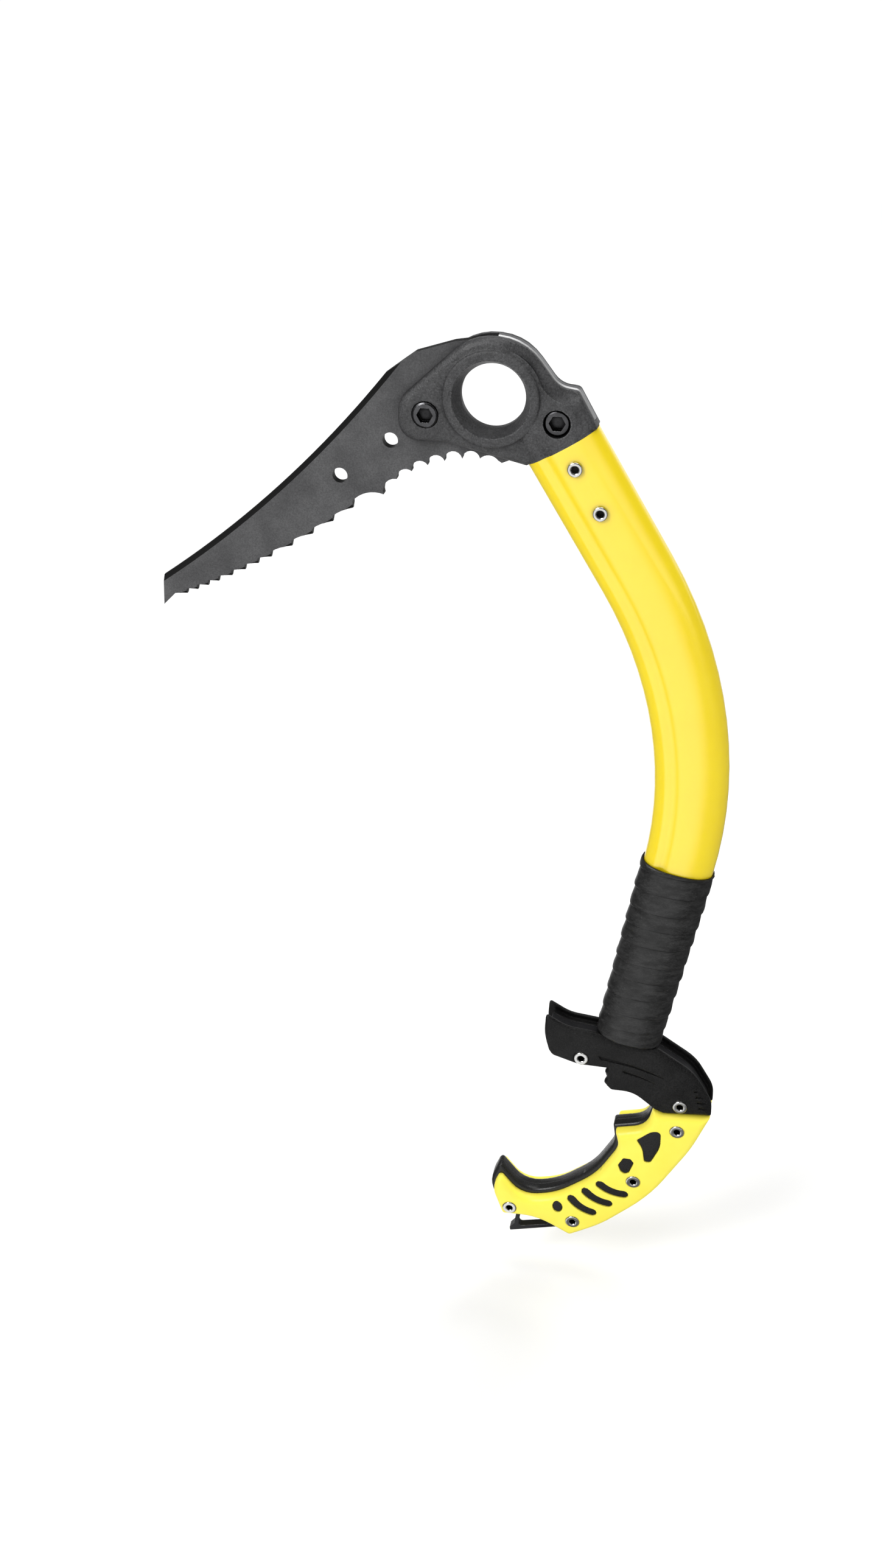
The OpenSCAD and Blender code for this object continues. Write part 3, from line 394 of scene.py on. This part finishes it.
# Forged aluminium under a dark grainy coating: matt, with fine bright grit, edges lightened as wear and
# painted highlight, and painted shade in its hollows.
# The grit is about 0.3 mm on the real coating and is drawn at 0.8 mm.
HEAD_COATING = Finish(
    "forged_alloy_grit_coated", "#454546", "#333334", roughness=0.46, gloss=0.36, mottle_mm=9, mottle=0.7,
    grain_mm=0.8, grain_height_mm=0.26, grain_tone=0.35, speck="#77777a", speck_mm=0.45, speck_amount=0.3,
    hollow_shade=0.9, hollow_shade_mm=24, edge="#7c7c7d", edge_mm=1.1, edge_wear_and_highlight=0.5)
# Hardened steel blade, blasted and phosphated: satin grey flats, bevels and cut edges painted near black as
# shade, and edges a little lightened as wear and painted highlight.
# The blasting is about 0.1 mm and is drawn at 0.6 mm.
BLADE_STEEL = Finish(
    "blasted_blade_steel", "#575758", "#454546", roughness=0.5, gloss=0.14, mottle_mm=16, mottle=0.8,
    grain_mm=0.6, grain_roughness=0.1, grain_tone=0.2, turned_face_light="#080808", facing=Facing.BEVELS,
    edge="#7c7c7d", edge_mm=0.25, edge_wear_and_highlight=0.2)
# Milled aluminium spacer, blasted grey: dull edge with a milled chamfer painted near white as a highlight.
# The blasting is about 0.1 mm and is drawn at 0.5 mm.
SPACER_ALLOY = Finish(
    "milled_spacer_aluminium", "#98989a", "#7e7e80", roughness=0.4, metallic=0.8, grain_mm=0.5,
    grain_height_mm=0.01, turned_face_light="#fafafa", facing=Facing.CHAMFERS, edge_mm=0.1)
# Socket screws in black oxide: dark, oily gloss, with a painted highlight on the turned rim and painted shade
# in the socket.
# The etch of the oxide is under 0.1 mm and is drawn at 0.6 mm.
BOLT_OXIDE = Finish(
    "black_oxide_steel", "#5c5c5e", "#444446", roughness=0.26, metallic=1.0, mottle_mm=3, grain_mm=0.6,
    hollow_shade=0.9, hollow_shade_mm=4, edge="#c0c0c0", edge_mm=0.35, edge_wear_and_highlight=0.8)
# Drawn aluminium tube in glossy enamel: clean yellow with a faint orange-peel ripple, and painted shade in
# its groove and where parts meet it.
SHAFT_ENAMEL = Finish(
    "gloss_yellow_enamel", "#fbdf10", "#f8d904", roughness=0.2, gloss=1.0, coat=1.0, mottle_mm=30, mottle=0.6,
    grain_mm=2.6, grain_height_mm=0.012, grain_roughness=0.04, hollow_shade=0.4, hollow_shade_mm=4, edge_mm=0.4)
# Nickel-plated hollow rivets: mirror bright, with faint tool marks from rolling the flange; their bores are
# painted black as shade in dress_rivets.
# The marks are about 0.2 mm and are drawn at 0.8 mm.
RIVET_NICKEL = Finish(
    "nickel_plated_rivet", "#e6e6e4", "#ccccca", roughness=0.14, metallic=1.0, mottle_mm=2, grain_mm=0.8,
    grain_height_mm=0.008, grain_roughness=0.05, edge_mm=0.2)
# Stretched rubber tape: black with a dull sheen, a little dust, fine lines along the wrap and painted shade
# under the wrap edges.
# The lines are about 0.3 mm and are drawn at 0.9 mm.
TAPE_RUBBER = Finish(
    "stretched_grip_rubber", "#2b2b2b", "#141414", roughness=0.42, ior=1.48, gloss=0.45, mottle_mm=4,
    mottle=0.9, grain_mm=0.9, grain_height_mm=0.08, grain_tone=0.3, speck="#5a5a5a", speck_mm=0.45,
    speck_amount=0.16, hollow_shade=0.6, hollow_shade_mm=3, edge_mm=0.3, stretch=(0.6, 0.6, 1.6))
# Sheet aluminium plate, sheared and dark anodised: dark grey faces with lighter edges and corners.
# The anodised grain is under 0.1 mm and is drawn at 0.5 mm.
PLATE_ALLOY = Finish(
    "dark_anodised_plate", "#2f2f31", "#262628", roughness=0.42, metallic=0.7, mottle_mm=6, grain_mm=0.5,
    grain_height_mm=0.015, edge="#a4a4a4", edge_mm=0.4, edge_wear_and_highlight=0.7)
# Glass-filled nylon covers with a spark-eroded texture: black, matt and finely speckled, with a painted sheen
# along the edges and painted shade in the grooves.
# The texture is about 0.2 mm and is drawn at 0.7 mm.
TRIGGER_NYLON = Finish(
    "moulded_black_nylon", "#171717", "#0c0c0c", roughness=0.4, ior=1.53, gloss=0.22, mottle_mm=14,
    mottle=0.9, grain_mm=0.7, grain_height_mm=0.2, grain_tone=0.6, speck="#4a4a4a", speck_mm=0.4,
    speck_amount=0.25, hollow_shade=0.6, edge="#3a3a3a", edge_mm=1.4, edge_wear_and_highlight=0.4)
# Soft black core plastic, moulded: smooth satin with a gentle shine and slightly lighter edges.
CORE_PLASTIC = Finish(
    "moulded_black_core", "#202020", "#181818", roughness=0.3, gloss=0.4, mottle_mm=10, grain_mm=1.1,
    edge="#3c3c3c", edge_mm=0.4, edge_wear_and_highlight=0.25)
# Yellow moulded scales: semi-gloss plastic with a soft, even bounce of light, lighter edges and painted shade
# in the corners.
SCALE_PLASTIC = Finish(
    "moulded_yellow_plastic", "#fff258", "#fdec4a", roughness=0.4, mottle_mm=18, mottle=0.7, grain_mm=1.4,
    grain_height_mm=0.012, hollow_shade=0.25, hollow_shade_mm=4, edge="#fff48a", edge_mm=0.8, edge_wear_and_highlight=0.25)
# Ground steel pins: plain grey metal, hidden inside the shaft.
PIN_STEEL = Finish("ground_pin_steel", "#a0a0a0", "#8e8e8e", roughness=0.3, metallic=1.0)
# Moulded nylon plugs: dull black, hidden inside the shaft.
PLUG_PLASTIC = Finish("moulded_plug_nylon", "#303030", "#282828", roughness=0.55, ior=1.53)


def dress(nodes: tuple[str, ...], finish: Finish, smooth_deg: float = 32.0) -> None:
    """Gives CAD nodes a finish and smooth shading up to an angle.

    Args:
        nodes: Names of the CAD nodes.
        finish: Finish that they share.
        smooth_deg: Largest angle between faces that still shade as one surface.
    """
    material = finish.make()
    for name in nodes:
        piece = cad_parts[name]
        piece.data.materials.clear()
        piece.data.materials.append(material)
        weld = piece.modifiers.new("weld", "WELD")
        weld.merge_threshold = CAD_WELD_MM * MM
        piece.data.shade_smooth()
        split = piece.modifiers.new("split", "EDGE_SPLIT")
        split.split_angle = math.radians(smooth_deg)
        LOG.info("%s: %s", name, finish.name)


def dress_rivets(nodes: tuple[str, ...], place: str, rim_mm: float = 0.9, smooth_deg: float = 50.0) -> None:
    """Gives tubular rivets of one length their plating, with black shade painted deep in their bores.

    Args:
        nodes: Names of the rivets, all of the same length.
        place: Where they sit, for the material's name.
        rim_mm: Depth of the rolled rim that stays bright.
        smooth_deg: Largest angle between faces that still shade as one surface.
    """
    half_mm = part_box(nodes[0])[1].y / MM
    name = f"{RIVET_NICKEL.name}_{place}"
    dress(nodes, replace(RIVET_NICKEL, name=name, bore_shade_mm=half_mm - rim_mm), smooth_deg)


@dataclass
class HeadSet:
    """Forged head with its pick, spacer and bolts."""

    bolts: tuple[str, ...] = ("front_bolt", "rear_bolt")
    head_smooth_deg: float = 40.0
    pick_smooth_deg: float = 9.0
    spacer_smooth_deg: float = 20.0

    def dress(self) -> None:
        """Gives every piece of the head its finish."""
        dress(("head",), HEAD_COATING, self.head_smooth_deg)
        dress(("pick",), BLADE_STEEL, self.pick_smooth_deg)
        dress(("rear_spacer",), SPACER_ALLOY, self.spacer_smooth_deg)
        dress(self.bolts, BOLT_OXIDE)


@dataclass
class Shaft:
    """Bent enamelled tube with its two rivets."""

    rivets: tuple[str, ...] = ("shaft_rivet_upper", "shaft_rivet_lower")
    tube_smooth_deg: float = 40.0

    def dress(self) -> None:
        """Gives the tube and its rivets their finishes."""
        dress(("shaft_tube",), SHAFT_ENAMEL, self.tube_smooth_deg)
        dress_rivets(self.rivets, "shaft")


@dataclass
class GripTape:
    """Tape wound up the lower shaft as overlapping shingles with exposed lower edges.

    The fields without a value are found by measure, in metres.
    """

    lean_deg: float = 10.2
    turns: int = 10
    spare_turns: int = 2
    columns: int = 120
    thin_mm: float = 0.5
    step_mm: float = 0.75
    inner_mm: float = 0.1
    end_band_mm: float = 0.5
    squareness: float = 0.87
    # Tape from its lower edge to the next one: share of the pitch, and share of the step in height
    profile: tuple[tuple[float, float], ...] = (
        (0.0, 0.0), (0.02, 0.55), (0.05, 0.9), (0.09, 1.0), (0.16, 0.98), (0.26, 0.9),
        (0.38, 0.78), (0.5, 0.64), (0.62, 0.48), (0.74, 0.32), (0.86, 0.16), (0.95, 0.05))
    # Waves in which the edge strays from an even helix: size in turns, radians per turn and start
    strays: tuple[Triple, ...] = ((0.06, 2.1, 0.7), (0.04, 5.3, 2.2), (0.025, 11.7, 0.0))
    # Lumps in the tape's face: share of the height, radians per turn and radians across the tape
    lumps: tuple[Triple, ...] = ((0.1, 3.1, 9.0), (0.07, 17.3, 4.0))
    up: np.ndarray = field(init=False)
    across: np.ndarray = field(init=False)
    low: float = field(init=False)
    length: float = field(init=False)
    middle: float = field(init=False)
    depth_low: float = field(init=False)
    depth_high: float = field(init=False)
    thick: float = field(init=False)

    @property
    def mean_height(self) -> float:
        """Gives the tape's mean height over the bare shaft, in metres."""
        return (self.thin_mm + self.step_mm / 2) * MM

    def measure(self) -> None:
        """Finds the tape's axis, length and bare oval from its CAD node."""
        points = np.array([v.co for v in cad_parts["grip_tape"].data.vertices], float)
        lean = math.radians(self.lean_deg)
        self.up = np.array([math.sin(lean), 0.0, math.cos(lean)])
        self.across = np.array([math.cos(lean), 0.0, -math.sin(lean)])
        along, side = points @ self.up, points @ self.across
        self.low = along.min()
        self.length = along.max() - self.low
        self.middle = (side.min() + side.max()) / 2
        near_low = along < self.low + self.end_band_mm * MM
        near_high = along > along.max() - self.end_band_mm * MM
        self.depth_low = np.ptp(side[near_low]) / 2 - self.mean_height
        self.depth_high = np.ptp(side[near_high]) / 2 - self.mean_height
        self.thick = points[near_low, 1].max() - self.mean_height

    def skin_point(self, angle: float, along: float, height: float) -> np.ndarray:
        """Places a point over the bare oval.

        Args:
            angle: Angle round the shaft in radians.
            along: Distance up from the lower end in metres.
            height: Distance over the bare shaft in metres.

        Returns:
            The point in the tool's frame.
        """
        share = along / self.length
        depth = self.depth_low + share * (self.depth_high - self.depth_low) + height
        c, s = math.cos(angle), math.sin(angle)
        side = depth * math.copysign(abs(c) ** self.squareness, c)
        y = (self.thick + height) * math.copysign(abs(s) ** self.squareness, s)
        return (self.low + along) * self.up + (self.middle + side) * self.across + np.array([0.0, y, 0.0])

    def stray(self, turn: float) -> float:
        """Tells how far the tape's edge strays from an even helix, in turns."""
        return sum(size * math.sin(rate * turn + start) for size, rate, start in self.strays)

    def wound_place(self, row: int, column: int) -> tuple[float, float]:
        """Finds where a point of the wound tape lies.

        Args:
            row: Row along the tape's profile, counted on from turn to turn.
            column: Column round the shaft.

        Returns:
            Its distance up from the lower end and its height over the bare shaft, in metres.
        """
        lap, step = divmod(row, len(self.profile))
        phase, share = self.profile[step]
        turn = lap - self.spare_turns + column / self.columns
        place = turn + phase + (1 - phase) * self.stray(turn) + phase * self.stray(turn + 1)
        along = place * self.length / self.turns
        if along <= 0 or along >= self.length:
            return min(max(along, 0.0), self.length), self.mean_height
        lump = sum(size * math.sin(rate * turn + slant * phase) for size, rate, slant in self.lumps)
        return along, (self.thin_mm + self.step_mm * share * (1 + lump)) * MM

    def wind(self) -> tuple[list[Triple], list[tuple[int, ...]]]:
        """Winds the tape's outside and closes it with ends and a plain inside.

        Returns:
            The points and the faces of the tape.
        """
        columns, step = self.columns, len(self.profile)
        rows = (self.turns + 2 * self.spare_turns) * step
        angles = [2 * math.pi * column / columns for column in range(columns)]
        points = [self.skin_point(angle, *self.wound_place(row, column))
                  for row in range(rows) for column, angle in enumerate(angles)]
        low = len(points)
        high = low + columns
        points += [self.skin_point(angle, end, self.inner_mm * MM)
                   for end in (0.0, self.length) for angle in angles]
        faces = []
        last_row = rows - step - 1
        for row in range(last_row):
            for column in range(columns):
                a = row * columns + column
                b = (row + step) * columns if column == columns - 1 else a + 1
                faces.append((a, b, b + columns, a + columns))
        top = last_row * columns
        for a in range(columns):
            b = (a + 1) % columns
            faces.append((low + a, low + b, b, a))
            faces.append((high + b, high + a, top + a, top + b))
            faces.append((low + b, low + a, high + a, high + b))
        return [tuple(point) for point in points], faces

    def build(self) -> None:
        """Makes the wound tape and puts it in place of its CAD node."""
        self.measure()
        points, faces = self.wind()
        mesh = bpy.data.meshes.new("wound_tape")
        mesh.from_pydata(points, [], faces)
        work = bmesh.new()
        work.from_mesh(mesh)
        bmesh.ops.remove_doubles(work, verts=work.verts, dist=TAPE_WELD_MM * MM)
        bmesh.ops.dissolve_degenerate(work, edges=work.edges, dist=TAPE_WELD_MM * MM)
        bmesh.ops.recalc_face_normals(work, faces=work.faces)
        work.to_mesh(mesh)
        work.free()
        tape = bpy.data.objects.new("wound_tape", mesh)
        bpy.context.scene.collection.objects.link(tape)
        mesh.shade_smooth()
        mesh.materials.append(TAPE_RUBBER.make())
        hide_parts("grip_tape")
        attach(tape, ROOT_BODY)
        LOG.info("wound_tape: %s, %d faces", TAPE_RUBBER.name, len(mesh.polygons))


@dataclass
class Handle:
    """Plate with its trigger covers, grip halves, rivets and hidden plugs and pins."""

    covers: tuple[str, ...] = ("trigger_cover_near", "trigger_cover_far")
    cores: tuple[str, ...] = ("grip_core_near", "grip_core_far")
    scales: tuple[str, ...] = ("grip_scale_near", "grip_scale_far")
    cover_rivets: tuple[str, ...] = ("trigger_rivet_front", "trigger_rivet_rear")
    scale_rivets: tuple[str, ...] = (
        "grip_rivet_top", "grip_rivet_middle", "grip_rivet_bottom", "grip_rivet_pommel")
    plugs: tuple[str, ...] = ("end_plug_near", "end_plug_far")
    pins: tuple[str, ...] = ("tang_pin_upper", "tang_pin_lower")
    cover_smooth_deg: float = 30.0
    grip_smooth_deg: float = 50.0

    def dress(self) -> None:
        """Gives every piece of the handle its finish."""
        dress(("tang_plate",), PLATE_ALLOY)
        dress(self.covers, TRIGGER_NYLON, self.cover_smooth_deg)
        dress(self.cores, CORE_PLASTIC, self.grip_smooth_deg)
        dress(self.scales, SCALE_PLASTIC, self.grip_smooth_deg)
        dress_rivets(self.cover_rivets, "trigger")
        dress_rivets(self.scale_rivets, "grip")
        dress(self.plugs, PLUG_PLASTIC)
        dress(self.pins, PIN_STEEL)


class LampRole(Enum):
    """What each studio lamp is for."""

    KEY = "key"
    FILL = "fill"
    TOP = "top"
    BACK = "back"


@dataclass(frozen=True)
class Lamp:
    """One soft studio lamp: place, aim and size in metres, power in watts, and whether gloss shows it."""

    role: LampRole
    place: Triple
    aim: Triple
    width: float
    height: float
    power: float
    mirrored: bool = True

    def build(self) -> None:
        """Adds the lamp to the scene."""
        data = bpy.data.lights.new(f"{self.role.value}_lamp", "AREA")
        data.shape = "RECTANGLE"
        data.size, data.size_y = self.width, self.height
        data.energy = self.power
        lamp = bpy.data.objects.new(data.name, data)
        lamp.location = self.place
        lamp.visible_glossy = self.mirrored
        way = Vector(self.aim) - Vector(self.place)
        lamp.rotation_euler = way.to_track_quat("-Z", "Y").to_euler()
        bpy.context.scene.collection.objects.link(lamp)


@dataclass
class Studio:
    """White studio with a pale floor, soft lamps and the photograph's camera."""

    camera_mm: Triple = (122.6, -712.0, 225.6)
    target_mm: Triple = (-22.1, 0.0, -185.8)
    lens_mm: float = 41.45
    sensor_mm: float = 36.0
    clip_m: tuple[float, float] = (0.01, 50.0)
    # Paper floor: its glow for the eye is faint near the tool, where the shadow falls, and grows outwards
    floor_gap_m: float = 0.02
    floor_half_m: float = 20.0
    paper: str = "#ececec"
    glow_near: float = 0.04
    glow_far: float = 0.72
    glow_near_m: float = 0.7
    glow_far_m: float = 3.0
    # Light of the room, and what gloss shows of its walls: 1 is white
    world_light: float = 0.34
    ceiling: float = 0.1
    side_wall: float = 0.15
    # Share of Y in a direction that turns from a side wall to a front wall, and height of the ceiling's edge
    wall_turn: tuple[float, float] = (0.35, 0.8)
    ceiling_height: float = 0.32
    # What gloss shows of the floor: a white sheet along Y, with its lean and half widths as X over Y
    sheet_lean: float = -0.1
    sheet_bright: float = 0.36
    sheet_dim: float = 0.8
    sheet_least_m: float = 0.05
    lamps: tuple[Lamp, ...] = (
        Lamp(LampRole.KEY, place=(-1.1, -1.3, 1.2), aim=(0.0, 0.0, -0.2), width=0.9, height=1.3, power=33.0),
        Lamp(LampRole.FILL, place=(1.4, -1.2, 0.3), aim=(0.0, 0.0, -0.25), width=0.8, height=1.6, power=8.5,
             mirrored=False),
        Lamp(LampRole.TOP, place=(0.1, 0.3, 1.5), aim=(0.0, 0.0, -0.2), width=1.4, height=1.0, power=12.0),
        Lamp(LampRole.BACK, place=(0.9, 1.5, 0.8), aim=(0.0, 0.0, -0.2), width=1.0, height=1.3, power=26.0,
             mirrored=False),
    )

    def seen(self, tree: Tree) -> Socket:
        """Gives a mask of the rays that see the white background.

        Args:
            tree: Node tree that takes the mask.

        Returns:
            One for camera, glossy and transmission rays, zero for the rest.
        """
        path = add_node(tree, "ShaderNodeLightPath")
        both = add_node(tree, "ShaderNodeMath", {
            0: path.outputs["Is Camera Ray"], 1: path.outputs["Is Glossy Ray"]}, operation="MAXIMUM")
        return add_node(tree, "ShaderNodeMath", {
            0: both.outputs[0], 1: path.outputs["Is Transmission Ray"]}, operation="MAXIMUM").outputs[0]

    def build_world(self) -> None:
        """Makes a mild light, a white background, and front walls, side walls and a ceiling for gloss."""
        world = bpy.data.worlds.new("white_studio")
        bpy.context.scene.world = world
        world.use_nodes = True
        tree = world.node_tree
        tree.nodes.clear()
        light = add_node(tree, "ShaderNodeBackground", {
            "Color": linear(WHITE), "Strength": self.world_light})
        way = add_node(tree, "ShaderNodeTexCoord").outputs["Generated"]
        axes = add_node(tree, "ShaderNodeSeparateXYZ", {0: way})
        along = add_node(tree, "ShaderNodeMath", {0: axes.outputs[1]}, operation="ABSOLUTE")
        around = add_node(tree, "ShaderNodeMapRange", {
            "Value": along.outputs[0], "From Min": self.wall_turn[0], "From Max": self.wall_turn[1],
            "To Min": self.side_wall})
        wall = add_node(tree, "ShaderNodeMapRange", {
            "Value": axes.outputs[2], "From Min": 0.0, "From Max": self.ceiling_height,
            "To Min": around.outputs[0], "To Max": self.ceiling})
        camera_ray = add_node(tree, "ShaderNodeLightPath").outputs["Is Camera Ray"]
        level = add_node(tree, "ShaderNodeMath", {0: camera_ray, 1: wall.outputs[0]}, operation="MAXIMUM")
        white = add_node(tree, "ShaderNodeBackground", {
            "Color": linear(WHITE), "Strength": level.outputs[0]})
        mixed = add_node(tree, "ShaderNodeMixShader", {
            0: self.seen(tree), 1: light.outputs[0], 2: white.outputs[0]})
        add_node(tree, "ShaderNodeOutputWorld", {"Surface": mixed.outputs[0]})

    def mirrored_sheet(self, tree: Tree, axes: Node) -> Socket:
        """Makes the white sheet that glossy surfaces show in place of the floor.

        Args:
            tree: Node tree of the floor.
            axes: Place on the floor, split into its axes.

        Returns:
            The sheet's shader.
        """
        ahead = add_node(tree, "ShaderNodeMath", {0: axes.outputs[1]}, operation="ABSOLUTE")
        ahead = add_node(tree, "ShaderNodeMath", {
            0: ahead.outputs[0], 1: self.sheet_least_m}, operation="MAXIMUM")
        lean = add_node(tree, "ShaderNodeMath", {
            0: axes.outputs[0], 1: ahead.outputs[0]}, operation="DIVIDE")
        off = add_node(tree, "ShaderNodeMath", {0: lean.outputs[0], 1: self.sheet_lean}, operation="SUBTRACT")
        off = add_node(tree, "ShaderNodeMath", {0: off.outputs[0]}, operation="ABSOLUTE")
        fade = add_node(tree, "ShaderNodeMapRange", {
            "Value": off.outputs[0], "From Min": self.sheet_bright, "From Max": self.sheet_dim,
            "To Min": 1.0, "To Max": self.side_wall})
        return add_node(tree, "ShaderNodeEmission", {
            "Color": linear(WHITE), "Strength": fade.outputs[0]}).outputs[0]

    def far_glow(self, tree: Tree, axes: Node) -> Socket:
        """Makes the glow that keeps the far floor white for the eye and lights nothing.

        Args:
            tree: Node tree of the floor.
            axes: Place on the floor, split into its axes.

        Returns:
            The glow's shader.
        """
        spot = add_node(tree, "ShaderNodeCombineXYZ", {0: axes.outputs[0], 1: axes.outputs[1]})
        radius = add_node(tree, "ShaderNodeVectorMath", {0: spot.outputs[0]}, operation="LENGTH")
        rise = add_node(tree, "ShaderNodeMapRange", {
            "Value": radius.outputs["Value"], "From Min": self.glow_near_m, "From Max": self.glow_far_m,
            "To Min": self.glow_near, "To Max": self.glow_far})
        glow = add_node(tree, "ShaderNodeEmission", {"Color": linear(WHITE), "Strength": rise.outputs[0]})
        dark = add_node(tree, "ShaderNodeEmission", {"Color": linear("#000000"), "Strength": 0.0})
        return add_node(tree, "ShaderNodeMixShader", {
            0: self.seen(tree), 1: dark.outputs[0], 2: glow.outputs[0]}).outputs[0]

    def build_floor(self) -> None:
        """Lays the pale paper floor under the tool."""
        low = CAD_BOX[0].z - self.floor_gap_m
        reach = self.floor_half_m
        mesh = bpy.data.meshes.new("studio_floor")
        corners = [(-reach, -reach, low), (reach, -reach, low), (reach, reach, low), (-reach, reach, low)]
        mesh.from_pydata(corners, [], [(0, 1, 2, 3)])
        floor = bpy.data.objects.new("studio_floor", mesh)
        bpy.context.scene.collection.objects.link(floor)
        material = bpy.data.materials.new("white_paper_sweep")
        material.use_nodes = True
        tree = material.node_tree
        tree.nodes.clear()
        place = add_node(tree, "ShaderNodeTexCoord").outputs["Object"]
        axes = add_node(tree, "ShaderNodeSeparateXYZ", {0: place})
        paper = add_node(tree, "ShaderNodeBsdfDiffuse", {"Color": linear(self.paper)})
        lit = add_node(tree, "ShaderNodeAddShader", {0: paper.outputs[0], 1: self.far_glow(tree, axes)})
        glossy = add_node(tree, "ShaderNodeLightPath").outputs["Is Glossy Ray"]
        total = add_node(tree, "ShaderNodeMixShader", {
            0: glossy, 1: lit.outputs[0], 2: self.mirrored_sheet(tree, axes)})
        add_node(tree, "ShaderNodeOutputMaterial", {"Surface": total.outputs[0]})
        mesh.materials.append(material)

    def build_camera(self) -> None:
        """Sets the camera at the photograph's viewpoint."""
        data = bpy.data.cameras.new("photo_camera")
        data.lens = self.lens_mm
        data.sensor_width = self.sensor_mm
        data.clip_start, data.clip_end = self.clip_m
        camera = bpy.data.objects.new("photo_camera", data)
        place, target = Vector(self.camera_mm) * MM, Vector(self.target_mm) * MM
        camera.location = place
        camera.rotation_euler = (target - place).to_track_quat("-Z", "Y").to_euler()
        bpy.context.scene.collection.objects.link(camera)
        bpy.context.scene.camera = camera

    def build(self) -> None:
        """Builds the whole studio."""
        self.build_world()
        self.build_floor()
        self.build_camera()
        for lamp in self.lamps:
            lamp.build()
        bpy.context.scene.view_settings.view_transform = "Standard"


def main() -> None:
    """Builds the studio and dresses the tool, sub-assembly by sub-assembly."""
    logging.basicConfig(level=logging.INFO, format="%(message)s")
    Studio().build()
    HeadSet().dress()
    Shaft().dress()
    GripTape().build()
    Handle().dress()


if __name__ == "__main__":
    main()
